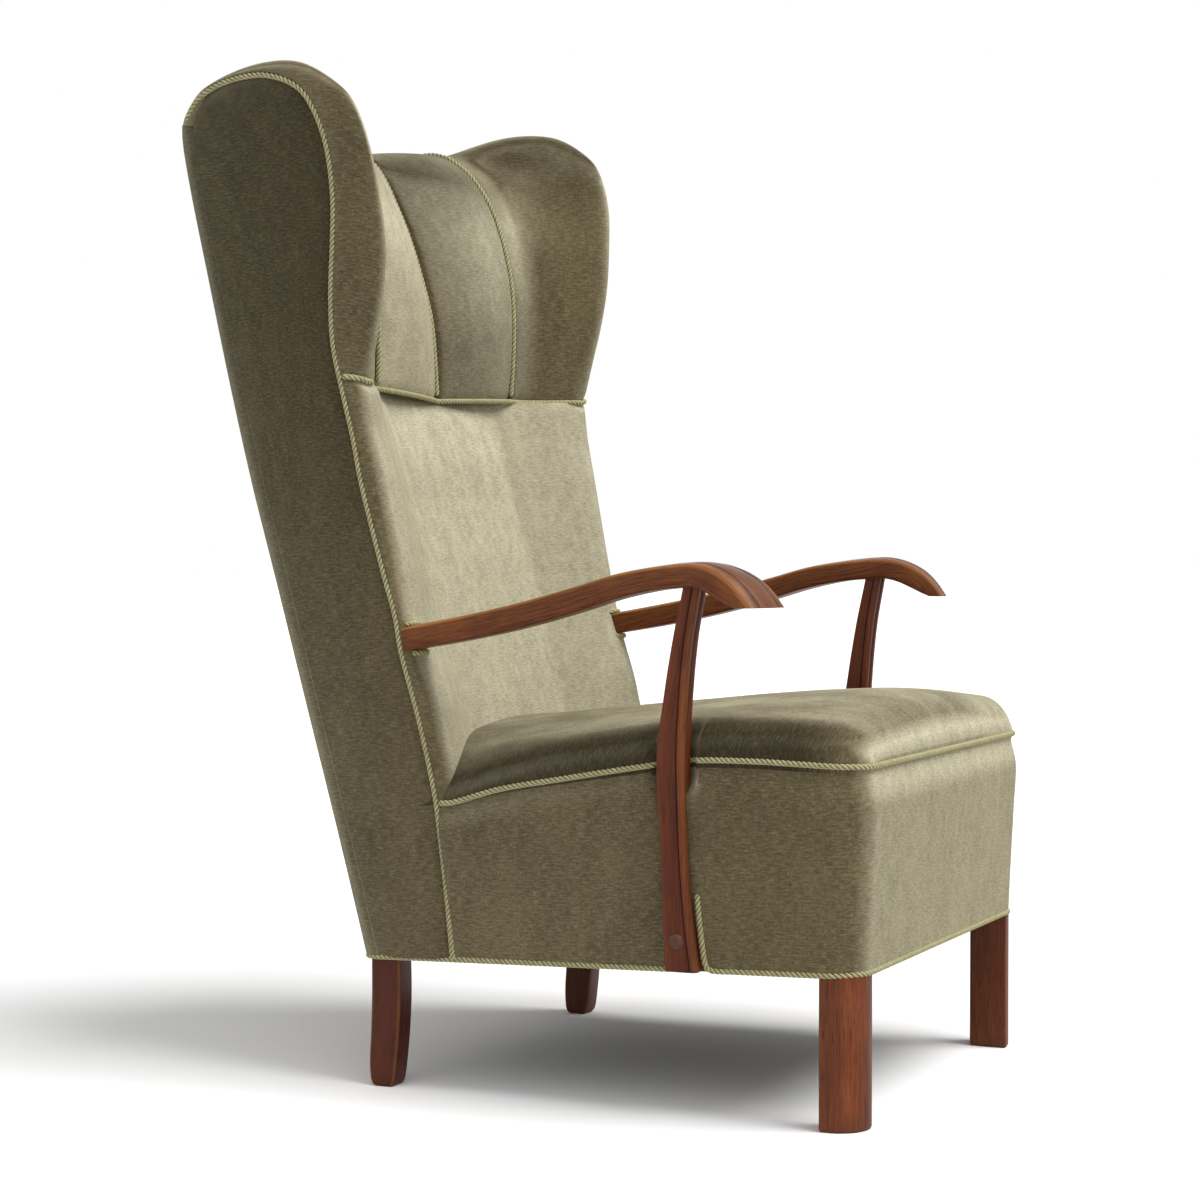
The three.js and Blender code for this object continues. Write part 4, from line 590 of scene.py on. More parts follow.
velour = velour_material()
cord_yarn = cord_material()
oak = wood_material("oak", "4f1f0c", "763816", "aa6930", 0.34)
post_oak = wood_material("oak_post", "4a1709", "6e2a12", "964d22", 0.34, 0.5)
leg_oak = wood_material("oak_leg", "521f0c", "843b1c", "a8623a", 0.38)
dark_beech = wood_material("dark_beech", "36100a", "581c14", "743426", 0.3, 0.35)
plug_wood = wood_material("plug_wood", "4a2c20", "6d4a38", "866050", 0.5, 0.4)
raw_beech = rough_material("raw_beech", "9a7046", "c39a68", (30, 30, 6), 0.75, 0.2)
jute = rough_material("jute", "6f5a38", "a88f62", (90, 90, 90), 0.95, 0.5)
dust_cloth = rough_material("dust_cloth", "2f2d29", "423f39", (90, 90, 90), 0.95, 0.5)
steel = steel_material()


def bare_material(name):
    """Finish of a solid that shows as it is."""
    if "screw" in name or name.startswith("seat_spring"):
        return steel
    if name == "dust_cover":
        return dust_cloth
    if "webbing" in name or "canvas" in name:
        return jute
    if any(word in name for word in ("rail", "block", "board")):
        return raw_beech
    return oak


for name, obj in nodes.items():
    obj.data.materials.clear()
    obj.data.materials.append(bare_material(name))


# Upholstery of the back

def seam_dip(distance, depth=4.5, width=5.0):
    """How far cloth dips at a distance from its seam."""
    return depth * np.exp(-(distance / width) ** 2)


def face_normals(grid, towards):
    """Unit normals of a point grid, on the side that a direction looks to."""
    n = np.cross(np.gradient(grid, axis=1), np.gradient(grid, axis=0))
    n /= np.maximum(np.linalg.norm(n, axis=-1, keepdims=True), 1e-9)
    return n * np.sign(np.mean(n @ np.array(towards, float)))


def painted_light_tones(shade, painted_sheen=0.0):
    """Painted shade, and painted sheen where the pile is to show pale, for a cover's two faces."""
    both = zip(("shade", "painted_sheen"), np.broadcast_arrays(shade, painted_sheen))
    return {name: np.tile(values, (2, 1, 1)) for name, values in both}


def shade_upwards(z):
    """Painted shade: the sides and the back are darker towards the top."""
    return painted_light_tones(lerp(0.2, 0.85, smooth((z - 200) / 800)))


def head_face(columns, sign):
    """Face of a head pad: rows run from the foot over the top to the rear edge."""
    u = np.linspace(0, 1, 84)
    grid = []
    for place_at, t in columns:
        share, points = place_at(t, u)
        foot = head_foot_z(share[0])
        z = points[:, 1] + (foot - points[0, 1]) * (1 - smooth(u / 0.1))
        y = points[:, 0] + seam_dip(z - foot) * (u < 0.3)
        grid.append(np.stack([sign * share * side_x(z), y, z], -1))
    return np.stack(grid, 1)


# Painted shade on the head's left half, and painted sheen on its right channel

HEAD_SHADE = {"left": 0.75, "right": 0.0}
CHANNEL_PAINTED_SHEEN = {"left": 0.0, "right": 1.0}


def head_channel(sign, side):
    face = head_face([(channel_at, t) for t in ends_dense(44)], sign)
    normal = face_normals(face, (0, -1, 0.3))
    x = np.abs(face[..., 0])
    face = face - normal * seam_dip(np.minimum(x, FLUTE * side_x(face[..., 2]) - x))[..., None]
    # Painted shade on the left channel, more towards the top
    shade = HEAD_SHADE[side] * lerp(0.5, 1.0, smooth((face[..., 2] / HEIGHT - 0.78) / 0.15))
    tones = painted_light_tones(shade, CHANNEL_PAINTED_SHEEN[side])
    cover(f"head_channel_{side}", face, face - normal * CHANNEL_THICK, tones)


def wing_pad(sign, side):
    """The outer flute and the wing, round its nose to the side seam."""
    columns = [(wing_at, t) for t in ends_dense(44)[:-1]]
    columns += [(roll_at, math.sin(a)) for a in np.linspace(0, math.pi / 2, 20)]
    face = head_face(columns, sign)
    normal = face_normals(face, (0, -1, 0.3))
    edge = np.abs(face[..., 0]) - FLUTE * side_x(face[..., 2])
    face = face - normal * seam_dip(edge)[..., None]
    x, y, z = np.moveaxis(face, -1, 0)
    corner = np.clip(np.abs(x) - side_x(z) + REAR_RADIUS, 0, REAR_RADIUS)
    face[..., 1] = np.minimum(y, rear_y(z) - 1.5 - REAR_RADIUS + np.sqrt(REAR_RADIUS**2 - corner**2))
    # Painted shade on the left wing, near its flute and towards the top
    inner = 1 - smooth((np.abs(x) / side_x(z) - FLUTE) / (0.75 * (NOSE - FLUTE)))
    shade = HEAD_SHADE[side] * np.maximum(inner, 0.6 * smooth((z / HEIGHT - 0.9) / 0.07))
    cover(f"wing_pad_{side}", face, face - normal * WING_THICK, painted_light_tones(shade))


def lower_back():
    """The lower back pad with its side rolls, with painted sheen on its left."""
    roll = lerp(NOSE, 1.0, np.sin(np.linspace(0, math.pi / 2, 16)))
    half = np.concatenate([np.linspace(0, NOSE, 34)[:-1], roll])
    foot = seat_seam_z(SEAT_SEAM_Y)
    columns = []
    for share in np.concatenate([-half[:0:-1], half]):
        wide = abs(share)
        z = lerp(foot, head_foot_z(wide), np.linspace(0, 1, 64))
        columns.append(np.stack([share * side_x(z), lower_back_y(wide, z) + seam_dip(z[-1] - z), z], -1))
    face = np.stack(columns, 1)
    x, y, z = np.moveaxis(face, -1, 0)
    across = x / side_x(z)
    thin = y + EDGE_THICK
    inside = np.maximum(rear_y(z) - PAD_REAR, thin)
    back = np.stack([0.97 * x, lerp(thin, inside, smooth((1 - np.abs(across)) / 0.1)), z], -1)
    painted_sheen = smooth((across - 0.1) / 0.25)
    cover("lower_back", face, back, painted_light_tones(0.0, painted_sheen), "lower_back_pad")


def behind_corner(y, z):
    """How far the rounded rear corner of the back has drawn in at a depth."""
    past = np.clip(y - (rear_y(z) - REAR_RADIUS), 0, REAR_RADIUS)
    return REAR_RADIUS - np.sqrt(REAR_RADIUS**2 - past**2)


def side_seam(count, last=1.0):
    """Side view of the side cord, foot to the rear end of the head."""
    foot = bottom_cord_z(SEAT_SEAM_Y)
    low = [(seam_y(z) + SEAM_GAP, z) for z in np.linspace(foot, SEAM[-2][0] * HEIGHT, count)]
    u = np.linspace(0, last, count)
    high = head_seam_line(u) - outward(head_seam_line, u) * SEAM_GAP
    return np.concatenate([low[:-2], high[2:]])


def side_panel(sign, side):
    """The cover of the back's side, from the side seam to the rounded rear corner."""
    puffed, inset, lap = 2.2, 1.2, 0.8
    front = side_seam(60)
    rear_z = np.linspace(bottom_cord_z(REAR_FOOT_Y - REAR_RADIUS), front[-1, 1], len(front))
    rear = np.stack([rear_y(rear_z) - REAR_RADIUS + 3.0, rear_z], -1)
    s = ends_dense(24)
    points = lerp(front[:, None], rear[:, None], s[None, :, None])
    y, z = points[..., 0], points[..., 1]
    width = np.abs(rear - front)[:, 0]
    puff = puffed * np.sin(math.pi * s)[None, :] ** 0.7 * np.clip(width / 80, 0, 1)[:, None]
    tucked = behind_corner(y, z) + lap * smooth((y - rear_y(z) + REAR_RADIUS) / 3)
    x = side_x(z) - inset + puff - tucked - seam_dip(s * width[:, None], 3.0, 4.0)
    face = np.stack([sign * x, y, z], -1)
    cover(f"side_panel_{side}", face, face - (sign * COVER, 0, 0), shade_upwards(z))


def outer_back():
    radius, inset, puffed, corner_drop = REAR_RADIUS, 1.0, 1.5, 4.0
    stations = [(a, 1.0) for a in np.linspace(0, math.pi / 2, 12)]
    stations += [(math.pi / 2, c) for c in np.linspace(1, 0, 26)[1:]]
    half = []
    for angle, across in stations:
        share = across * (1 - radius * (1 - math.cos(angle)) / SIDE)
        top = head_at(share, 1)[1] - corner_drop * (1 - math.sin(angle)) ** 2
        foot = float(bottom_cord_z(REAR_FOOT_Y - radius + radius * math.sin(angle)))
        z = lerp(foot, top, np.linspace(0, 1, 70))
        out = puffed * math.sin(angle) * np.sin(math.pi * (z - foot) / (top - foot))
        x = across * (side_x(z) - radius) + radius * math.cos(angle)
        y = rear_y(z) - radius + radius * math.sin(angle) + out - inset
        half.append(np.stack([x, y, z], -1))
    face = np.stack(half + [c * (-1, 1, 1) for c in half[-2::-1]], 1)
    back = face - face_normals(face, (0, 1, 0)) * COVER
    cover("outer_back", face, back, shade_upwards(face[..., 2]))


# Seat

def seat_edge_x(y):
    """Half-width of the seat pad, less at its front corners and beside the posts."""
    behind = np.clip(y - SEAT_FRONT_Y, 0, SEAT_RADIUS)
    round_in = SEAT_RADIUS - np.sqrt(np.maximum(SEAT_RADIUS**2 - (SEAT_RADIUS - behind) ** 2, 0))
    return seat_half(y) - round_in - cord_tuck(y)


def rounded(distance, fall):
    """A quarter circle's rise, 0 at an edge and 1 at the end of its fall."""
    return np.sqrt(1 - (1 - np.clip(distance / fall, 0, 1)) ** 2)


def seat_pad():
    """The crowned seat, with painted shade at its sides and behind, and painted sheen at the front left."""
    depths = lerp(SEAT_FRONT_Y + 0.3, SEAT_REAR_Y, 1 - np.cos(np.linspace(0, math.pi / 2, 120)))
    y, share = np.meshgrid(depths, ends_dense(120, -1, 1), indexing="ij")
    behind, beside = y - SEAT_FRONT_Y, (1 - np.abs(share)) * seat_edge_x(y)
    side_fall = EDGE_FALL * (1 + 1.3 * smooth((behind - 340) / 190))
    rise = rounded(behind, EDGE_FALL) * rounded(beside, side_fall)
    seam = seat_seam_z(y) + 1.0
    crown = (seat_crown_z(y) - seam - EDGE_RISE) * (1 - share**2) * rounded(behind, 2 * EDGE_FALL)
    top = np.stack([share * seat_edge_x(y), y, seam + EDGE_RISE * rise + crown], -1)
    bottom = top * (0.94, 1, 1)
    bottom[..., 2] = CANVAS + 2.5
    bottom[..., 1] = np.maximum(bottom[..., 1], SEAT_FRONT_Y + 16)
    # Painted shade at the sides and towards the rear, and painted sheen at the front left
    edge = smooth((62 - beside) / 60) * smooth(behind / 80)
    shade = np.maximum(edge, 0.7 * smooth((behind - 180) / 260))
    painted_sheen = (1 - edge) * smooth((top[..., 0] - 40) / 140) * smooth((260 - behind) / 160)
    cover("seat_pad", top, bottom, painted_light_tones(shade, painted_sheen))


def seat_path(start_y, side_steps, round_steps):
    """Stations round the seat from one side to the other: place and outward direction in plan."""
    front_steps = 24
    corner_x = seat_half(SEAT_CORNER_Y) - SEAT_RADIUS
    half = [(seat_half(y), y, 1.0, 0.0) for y in np.linspace(start_y, SEAT_CORNER_Y, side_steps)]
    for a in np.linspace(0, math.pi / 2, round_steps + 1)[1:]:
        half.append((corner_x + SEAT_RADIUS * math.cos(a), SEAT_CORNER_Y - SEAT_RADIUS * math.sin(a),
                     math.cos(a), -math.sin(a)))
    half += [(corner_x * (1 - k / front_steps), SEAT_FRONT_Y, 0.0, -1.0) for k in range(1, front_steps)]
    other = [(-x, y, -nx, ny) for x, y, nx, ny in reversed(half)]
    return np.array(half + [(0.0, SEAT_FRONT_Y, 0.0, -1.0)] + other)


def seat_border():
    foot_lift = 2.2
    stations = seat_path(SEAT_SEAM_Y, 70, 14)
    line = curve([(rise, -inward * BORDER) for inward, rise in BORDER_LINE])
    t = ends_dense(36)
    face, back = [], []
    for k, (x, y, nx, ny) in enumerate(stations):
        low, high = bottom_cord_z(y) + foot_lift, seat_seam_z(y) - 1
        z = lerp(low, high, t)
        out = line(t) - cord_tuck(y) * smooth((z - high + 45) / 40)
        column = np.stack([x + nx * out, y + ny * out, z], -1)
        inner = column - (BORDER_THICK * nx, BORDER_THICK * ny, 0)
        if k in (0, len(stations) - 1):
            column[:, 1] = inner[:, 1] = seam_y(z) + 1.0
        face.append(column)
        back.append(inner)
    cover("seat_border", np.stack(face, 1), np.stack(back, 1))


# Piping

def resample(points, step):
    """Points at equal steps on a smooth curve through the points given."""
    points = np.asarray(points, float)
    points = points[np.append(True, np.linalg.norm(np.diff(points, axis=0), axis=1) > 1e-6)]
    length = run_lengths(points, 0)
    fine = np.linspace(0, length[-1], max(int(length[-1] / 0.4), 8))
    dense = np.stack([curve(np.column_stack([length, points[:, i]]))(fine) for i in range(3)], -1)
    run = run_lengths(dense, 0)
    even = np.linspace(0, run[-1], max(int(run[-1] / step), 4))
    return np.stack([np.interp(even, run, dense[:, i]) for i in range(3)], -1)


def rope(node, points):
    """A cord of three twisted strands along a path, drawn in at both ends."""
    path = resample(points, ROPE_STEP)
    along = np.gradient(path, axis=0)
    along /= np.linalg.norm(along, axis=1, keepdims=True)
    normal = np.array([0, 0, 1.0]) if abs(along[0, 2]) < 0.7 else np.array([1.0, 0, 0])
    profile = np.tile([0.68, 0.92, 1.03, 1.03, 0.92], 3)
    # Painted shade in the hollows between the strands
    groove = np.tile([0.95, 0.14, 0.0, 0.0, 0.14], 3)
    loops = []
    for k, (p, a) in enumerate(zip(path, along)):
        normal = normal - a * normal.dot(a)
        normal /= np.linalg.norm(normal)
        turn = 2 * math.pi * (np.arange(len(profile)) / len(profile) + k * ROPE_STEP / ROPE_PITCH)
        end = min(k, len(path) - 1 - k)
        reach = ROPE_RADIUS * profile[:, None] * (0.6, 0.9, 1.0)[min(end, 2)]
        spoke = np.cos(turn)[:, None] * normal + np.sin(turn)[:, None] * np.cross(a, normal)
        loops.append(p + reach * spoke)
    obj = rings(f"{node}_cord", loops, cord_yarn, sharp=180, tones={"groove": np.tile(groove, len(path))})
    dress(obj, node)


def closed_by_mirror(half, middle):
    """A path from one side over its middle to the mirrored side."""
    return [*half, *middle, *[(-x, y, z) for x, y, z in reversed(half)]]


def side_piping(sign, side):
    plan = side_seam(50, 0.985)
    x = side_x(plan[:, 1]) - 1.5 - behind_corner(plan[:, 0], plan[:, 1])
    rope(f"side_piping_{side}", np.stack([sign * x, plan[:, 0], plan[:, 1]], -1))


def head_piping():
    roll = lerp(NOSE, 1, np.sin(np.linspace(0, 1.45, 14)))
    shares = np.concatenate([np.linspace(0, NOSE, 30)[:-1], roll])
    points = [(s * side_x(head_foot_z(s)), head_at(s, 0)[0], head_foot_z(s)) for s in shares]
    rope("head_piping", closed_by_mirror(points[:0:-1], points[:1]))


def channel_piping(share, line, sign, name):
    points = line(np.linspace(0.012, 0.985, 64))
    rope(name, np.stack([sign * share * side_x(points[:, 1]), points[:, 0], points[:, 1]], -1))


def seat_piping():
    stations = seat_path(SEAT_SEAM_Y, 90, 12)
    points = [[x - nx * cord_tuck(y), y, seat_seam_z(y)] for x, y, nx, _ in stations]
    points[0][1] = points[-1][1] = seam_y(seat_seam_z(SEAT_SEAM_Y)) - 1
    rope("seat_piping", points)


def bottom_front_piping():
    """The lower cord round the front, its ends turned up in front of the posts."""
    def beside(z):
        return post_front_y(z) - SEAM_GAP - CLEAR

    half = []
    for rise in np.linspace(80, 12, 8):
        y = beside(POST_FOOT_Z + rise)
        half.append((seat_half(y) - CORD / 3, y, POST_FOOT_Z + rise))
    bend = beside(POST_FOOT_Z)
    turn = bend - 3 * CORD
    half.append((seat_half(bend) - CORD, bend - CORD / 2, POST_FOOT_Z + CORD))
    half.append((seat_half(turn) - LOWER_INSET, turn, bottom_cord_z(turn)))
    along = [(x - nx * LOWER_INSET, y - ny * LOWER_INSET, bottom_cord_z(y))
             for x, y, nx, ny in seat_path(turn, 8, 10)[1:-1]]
    rope("bottom_piping_front", closed_by_mirror(half, along))


def bottom_rear_piping():
    start, end = ARM_POST[0][1] * DEPTH + 2 * CLEAR, REAR_FOOT_Y - REAR_RADIUS
    half = []
    for t in np.linspace(0, 1, 14):
        y = lerp(start, end, t)
        x = lerp(seat_half(y) - LOWER_INSET, side_x(SKIRT_REAR) - COVER / 2, t)
        half.append((x, y, bottom_cord_z(y)))
    radius = REAR_RADIUS - COVER / 2
    middle_x = side_x(SKIRT_REAR) - REAR_RADIUS
    for a in np.linspace(0, math.pi / 2, 9)[1:]:
        y = end + radius * math.sin(a)
        half.append((middle_x + radius * math.cos(a), y, bottom_cord_z(y)))
    half += [(middle_x * (1 - k / 6), half[-1][1], half[-1][2]) for k in range(1, 6)]
    rope("bottom_piping_rear", closed_by_mirror(half, [(0.0, half[-1][1], half[-1][2])]))


def arm_collar(sign, side):
    """The cord round the arm where it enters the back."""
    off = 2.6
    surface = lower_back_y(0.9, arm_top_z(ARM[0][0] * DEPTH))
    top, low = arm_top_z(surface) + off, arm_low_z(surface) - off
    inner = ARM[0][4] * SIDE - off

    def on(x, z, sunk=-1.0):
        return (x, lower_back_y(min(x / side_x(z), 1), z) + sunk, z)

    ends = [side_x(z) * 0.985 for z in (top, low)]
    points = [on(x, top) for x in np.linspace(ends[0], inner + 2 * CORD, 6)]
    points += [on(inner + 1, top - CORD, 3.0), on(inner, (top + low) / 2, 4.0)]
    points.append(on(inner + 1, low + CORD, 3.0))
    points += [on(x, low) for x in np.linspace(inner + 2 * CORD, ends[1], 6)]
    rope(f"arm_collar_{side}", np.array(points) * (sign, 1, 1))


# Show wood

def arc(centre_x, centre_y, radius, start, count):
    """Points of a quarter circle in a section, from a start angle in degrees."""
    angles = np.radians(np.linspace(start, start + 90, count))
    return [(centre_x + radius * math.cos(a), centre_y + radius * math.sin(a)) for a in angles]


def timber(node, loops, material, sharp=50, slot="oak", **tones):
    """A wooden piece through rings, in place of its node."""
    dress(rings(f"{node}_wood", loops, material, sharp=sharp, tones=tones), node)


def arm_piece(sign, side):
    """The arm: slim behind, swelling to a downturned paw with two carved furrows, painted shade in them and
    faintly over the paw.
    """
    grooves_at, groove_depth, groove_reach = (0.765, 0.235), 2.6, 1.6
    columns = [evenly(column) for column in np.array(ARM).T]
    upper = np.concatenate([
        np.linspace(0.86, 0.81, 3), np.linspace(0.795, 0.735, 9), [0.68, 0.6, 0.5, 0.4, 0.32],
        np.linspace(0.265, 0.205, 9), np.linspace(0.19, 0.14, 3),
    ])
    side_tone = [0] * 5 + [0.15, 0.5, 0.9, 1, 1, 1, 0.9, 0.7]
    tone = np.array(side_tone + [0.1] * len(upper) + side_tone[::-1])
    loops, grooves, worn = [], [], []
    for t in np.concatenate([np.linspace(0, 0.5, 30)[:-1], np.linspace(0.5, 0.985, 44), [0.995, 1.0]]):
        top_y, top_z, low_y, low_z, inner, outer, lag = [c(t) for c in columns]
        paw = np.clip((outer - inner - 0.15) / 0.077, 0, 1)
        width = (outer - inner) * SIDE
        thick = math.hypot((top_y - low_y) * DEPTH, (top_z - low_z) * HEIGHT)
        easing, under = min(3.6 + 4.4 * paw, thick * 0.42), min(3.5, thick * 0.25)
        section = arc(width - under, under, under, -90, 5)
        section += arc(width - easing, thick - easing, easing, 0, 8)
        # Painted shade in the carving and, fainter, over the whole paw
        groove = [0.0] * 13
        for s in upper:
            carved = sum(math.exp(-((s - c) * width / groove_reach) ** 2) for c in grooves_at)
            crown = (1.2 + 1.5 * paw) * math.sin(math.pi * s) ** 1.5
            section.append((s * width, thick - groove_depth * paw * carved + crown * min(1, thick / 14)))
            groove.append(min(paw * (carved + 0.26), 1))
        section += arc(easing, thick - easing, easing, 90, 8) + arc(under, under, under, 180, 5)
        across, up = np.array(section).T
        y = (lerp(low_y, top_y, up / thick) + lag * across / width) * DEPTH
        z = lerp(low_z, top_z, up / thick) * HEIGHT
        loops.append(np.stack([sign * (inner * SIDE + across), y, z], -1))
        grooves.append(groove + [0.0] * 13)
        worn.append(tone * lerp(1.0, 0.25, paw))
    timber(f"arm_{side}", loops, oak, groove=grooves, worn=worn)


def arm_post_piece(sign, side):
    """The arm post: bowed, with two beads and a furrow between them down its front edge, painted shade in the
    furrow and beside the beads.
    """
    top = arm_low_z(-0.277 * DEPTH) + 4
    loops = []
    foot, ease = POST_FOOT_Z, 2.6
    for z in np.concatenate([[foot, foot + 0.6, foot + 1.6], np.linspace(foot + 4, top, 60)]):
        edge = 1.2 * (1 - smooth((z - foot) / 1.6))
        rear, nose = post_rear_y(z) - edge, post_front_y(z) + edge
        half = [(BEAD - BEAD * math.cos(a), nose + BEAD - BEAD * math.sin(a))
                for a in np.radians([-12, 0, 18, 36, 54, 72, 90, 108, 126, 144, 158])]
        half[0] = (0, nose + BEAD + 2.4)
        half.insert(1, (1.3, nose + BEAD + 1.2))
        section = arc(ease, rear - ease, ease, 90, 4)[::-1]
        section += arc(POST_THICK - ease, rear - ease, ease, 0, 4)[::-1]
        section += [(POST_THICK - x, y) for x, y in half] + [(POST_THICK / 2, nose + BEAD + 2.0)] + half[::-1]
        loops.append([(sign * (POST_INNER_X + x + (edge if x < POST_THICK / 2 else -edge)), y, z)
                      for x, y in section])
    # Painted shade at the steps beside the side faces and on the beads' slopes into the furrow
    side_tone = [0.4, 1.0, 0.1] + [0.0] * 6 + [0.2, 0.5, 0.8]
    groove = [0.0] * 8 + side_tone + [1.0] + side_tone[::-1]
    worn = [0.15] * 8 + [0, 0, 0.1, 0.2, 0.3, 0.3, 0.3, 0.3, 0.2, 0.1, 0, 0, 0] + [0.1] * 12
    tones = {"groove": [groove] * len(loops), "worn": [worn] * len(loops)}
    timber(f"arm_post_{side}", loops, post_oak, 55, **tones)


def bolt_plug(sign, side):
    y, z = (POST_LEVELS[1][1] + POST_LEVELS[1][2]) / 2, POST_FOOT_Z + 31.5
    profile = [(-12, 8.4), (0.8, 8.4), (1.6, 8.0), (2.3, 7.0), (2.8, 5.2), (3.05, 3.0), (3.1, 0.8)]
    turn = np.linspace(0, 2 * math.pi, 37)[:-1]
    loops = [[(sign * (POST_OUTER_X + out), y + r * math.cos(a), z + r * math.sin(a)) for a in turn]
             for out, r in profile]
    dress(rings(f"bolt_plug_{side}", loops, plug_wood, sharp=50), f"post_bolt_{side}")


LEG_OUTER = seat_half(SEAT_FRONT_Y) - LEG_INSET
LEG_INNER = LEG_OUTER - LEG_WIDTH
LEG_FRONT = SEAT_FRONT_Y + LEG_INSET
LEG_REAR = LEG_FRONT + LEG_DEPTH


def front_leg(sign, side):
    """Front leg: its outer front corner is a quarter round, its foot eased all round."""
    loops, worn, shade_and_dark_foot = [], [], []
    top = skirt_z(LEG_REAR) + 6
    ease, round_in = 2.2, LEG_ROUND
    # Painted shade on the leg's faces but for the middle of its round, and darker towards the foot
    edges = np.concatenate([[0.3] * 10, 0.3 * np.cos(np.linspace(0, math.pi, 14)) ** 2, [0.3] * 5])
    for z, inset in [(0, 2.4), (0.7, 1.1), (2.4, 0.2), (4, 0)] + [(h, 0) for h in np.linspace(12, top, 22)]:
        inner, rear = LEG_INNER + inset, LEG_REAR - inset
        outer, front = LEG_OUTER - inset, LEG_FRONT + inset
        ring = arc(inner + ease, rear - ease, ease, 90, 5) + arc(inner + ease, front + ease, ease, 180, 5)
        ring += arc(outer - round_in, front + round_in, round_in, 270, 14)
        ring += arc(outer - ease, rear - ease, ease, 0, 5)
        loops.append([(sign * x, y, z) for x, y in ring])
        worn.append(np.array([0.12] * 10 + [0.05] * 14 + [0.2] * 5) * (1 if z > 5 else 2))
        shade_and_dark_foot.append(np.maximum(edges, 0.4 * smooth((34 - z) / 34)))
    timber(f"front_leg_{side}", loops, leg_oak, worn=worn, groove=shade_and_dark_foot)


def back_post_piece(sign, side):
    """The upright: its foot is the rear leg, curved a little backwards."""
    loops, worn = [], []
    ease = 3.0
    low = [0, 0.7, 2.2, 4.5, *np.linspace(8, SKIRT_REAR, 24)[:-1]]
    for z in [*low, *np.linspace(SKIRT_REAR, HEIGHT * 0.944, 40)]:
        set_in = smooth((z - SKIRT_REAR) / 192)
        inset = 2.0 * (1 - min(z / 3, 1)) ** 2
        leg_z = min(z, SKIRT_REAR)
        front = lerp(leg_front_y(leg_z), rear_y(z) - FRAME_FRONT, set_in) + inset
        rear = lerp(leg_rear_y(leg_z), rear_y(z) - FRAME_REAR, set_in) - inset
        outer = side_x(z) - lerp(10.5, COVER + 0.9, set_in)
        inner, outer = outer - UPRIGHT_WIDTH + inset, outer - inset
        near = lerp(3.5, 12, set_in)
        ring = arc(inner + ease, rear - ease, ease, 90, 6) + arc(inner + ease, front + ease, ease, 180, 6)
        ring += arc(outer - ease, front + ease, ease, 270, 6) + arc(outer - near, rear - near, near, 0, 6)
        loops.append([(sign * x, y, z) for x, y in ring])
        worn.append([0.1, 0.35, 0.5, 0.5, 0.35, 0.1] * 4)
    timber(f"back_post_{side}", loops, dark_beech, slot="dark_beech", worn=worn)


# Assembly

for sign, side in ((1, "left"), (-1, "right")):
    channel_piping(FLUTE, flute_line, sign, f"flute_piping_{side}")
    for make in (head_channel, wing_pad, side_panel, side_piping, arm_collar, arm_piece, arm_post_piece,
                 bolt_plug, front_leg, back_post_piece):
        make(sign, side)
for make in (lower_back, outer_back, seat_pad, seat_border, seat_piping, bottom_front_piping,
             bottom_rear_piping, head_piping):
    make()
channel_piping(0.0, centre_line, 1, "centre_piping")


# Floor, light, camera

def viewed(tree, directly=False):
    """1 for what the camera sees and, unless directly, for reflections too."""
    rays = tree.nodes.new("ShaderNodeLightPath").outputs
    value = rays["Is Camera Ray"]
    for name in () if directly else ("Is Glossy Ray", "Is Transmission Ray"):
        either = tree.nodes.new("ShaderNodeMath")
        either.operation = "MAXIMUM"
        tree.links.new(value, either.inputs[0])
        tree.links.new(rays[name], either.inputs[1])
        value = either.outputs[0]
    return value


def switched(tree, factor, kind, socket, plain, seen):
    """A shader with one value for all light and another for what the factor picks."""
    mix = tree.nodes.new("ShaderNodeMixShader")
    tree.links.new(factor, mix.inputs[0])
    for slot, values in ((1, plain), (2, seen)):
        shader = tree.nodes.new(kind)
        for key, value in zip(socket, values):
            shader.inputs[key].default_value = value
        tree.links.new(shader.outputs[0], mix.inputs[slot])
    return mix.outputs[0]


def grey(value):
    return (value, value, value, 1.0)


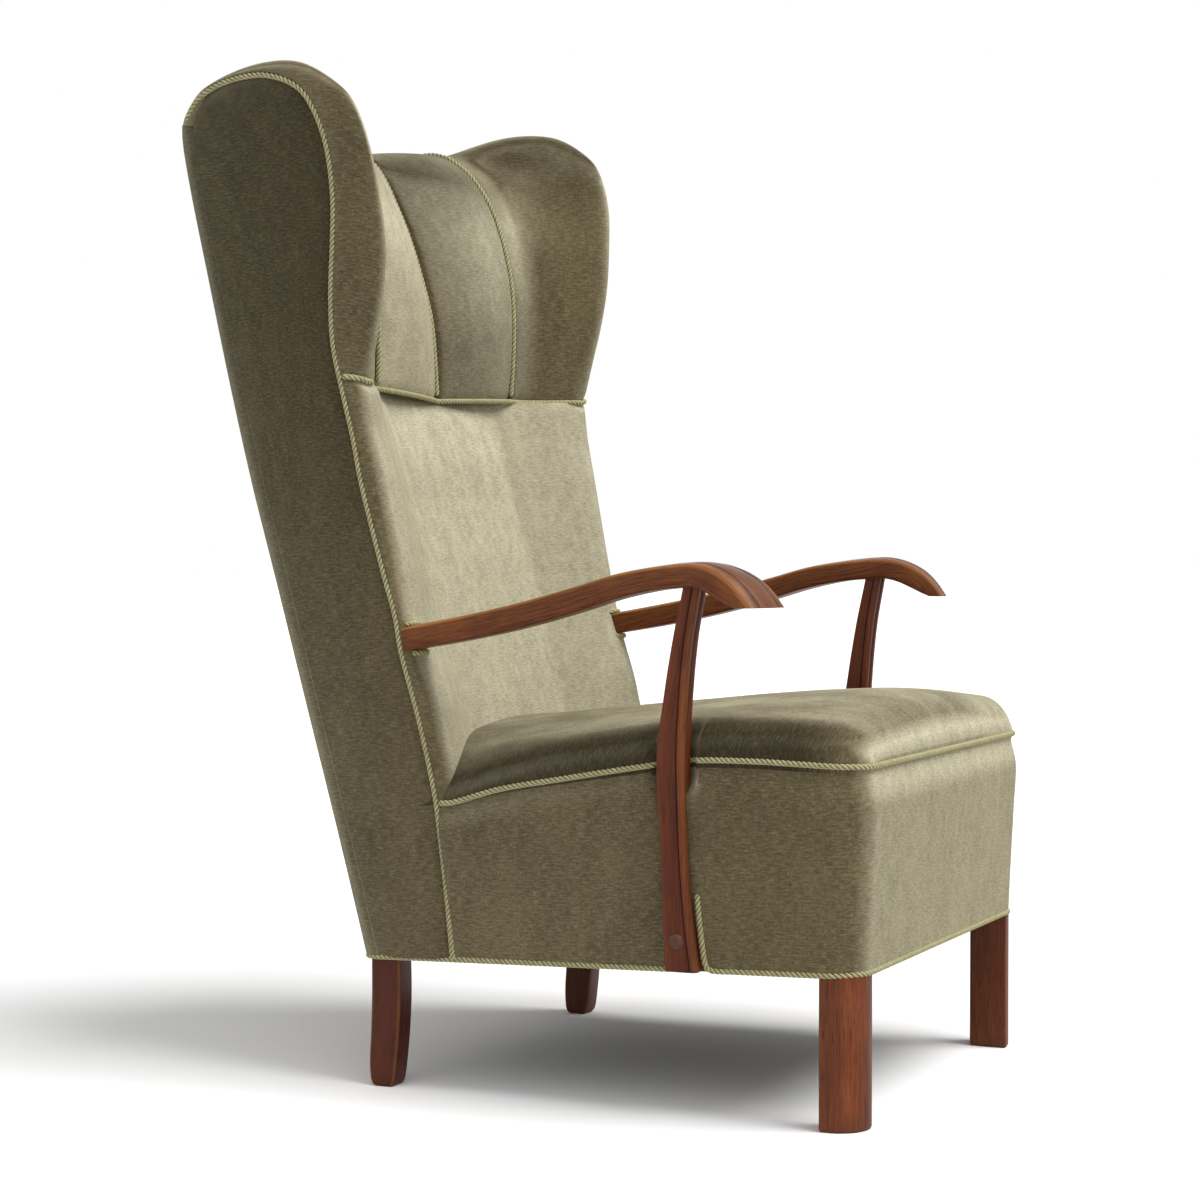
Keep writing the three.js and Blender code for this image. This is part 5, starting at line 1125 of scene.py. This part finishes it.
def studio():
    world = bpy.data.worlds.new("studio")
    bpy.context.scene.world = world
    world.use_nodes = True
    tree = world.node_tree
    sky = switched(tree, viewed(tree), "ShaderNodeBackground", ("Color", "Strength"),
                   plain=(grey(1), 0.25), seen=(grey(1), 1.0))
    tree.links.new(sky, tree.nodes["World Output"].inputs[0])

    paint = bpy.data.materials.new("floor_white")
    paint.use_nodes = True
    tree = paint.node_tree
    tree.nodes.remove(next(n for n in tree.nodes if n.type == "BSDF_PRINCIPLED"))
    ground = switched(tree, viewed(tree, directly=True), "ShaderNodeBsdfDiffuse", ("Color",),
                      plain=(grey(0.85),), seen=(grey(1.42),))
    tree.links.new(ground, tree.nodes["Material Output"].inputs[0])

    mesh = bpy.data.meshes.new("floor")
    half = 30.0
    corners = [(x * half, y * half, 0) for x, y in ((-1, -1), (1, -1), (1, 1), (-1, 1))]
    mesh.from_pydata(corners, [], [(0, 1, 2, 3)])
    floor = bpy.data.objects.new("floor", mesh)
    bpy.context.scene.collection.objects.link(floor)
    mesh.materials.append(paint)

    def sun(name, direction, strength, angle):
        data = bpy.data.lights.new(name, "SUN")
        data.energy = strength
        data.angle = math.radians(angle)
        lamp = bpy.data.objects.new(name, data)
        lamp.rotation_euler = Vector(direction).to_track_quat("-Z", "Y").to_euler()
        bpy.context.scene.collection.objects.link(lamp)

    sun("key", (-0.05, 0.62, -1.0), 1.95, 40)
    sun("fill", (0.75, 0.3, -1.0), 0.6, 60)


def camera():
    """The camera as fitted to the photo."""
    down, turned = 1.4260, -65.1738
    data = bpy.data.cameras.new("camera")
    data.lens = 81.846
    data.sensor_width = 36.0
    data.clip_start, data.clip_end = 0.05, 100
    cam = bpy.data.objects.new("camera", data)
    cam.location = (-2.87260, -1.31000 + SHIFT * MM, 0.60935)
    cam.rotation_euler = (math.radians(90 - down), 0, math.radians(turned))
    bpy.context.scene.collection.objects.link(cam)
    bpy.context.scene.camera = cam


studio()
camera()
bpy.context.scene.view_settings.view_transform = "Standard"
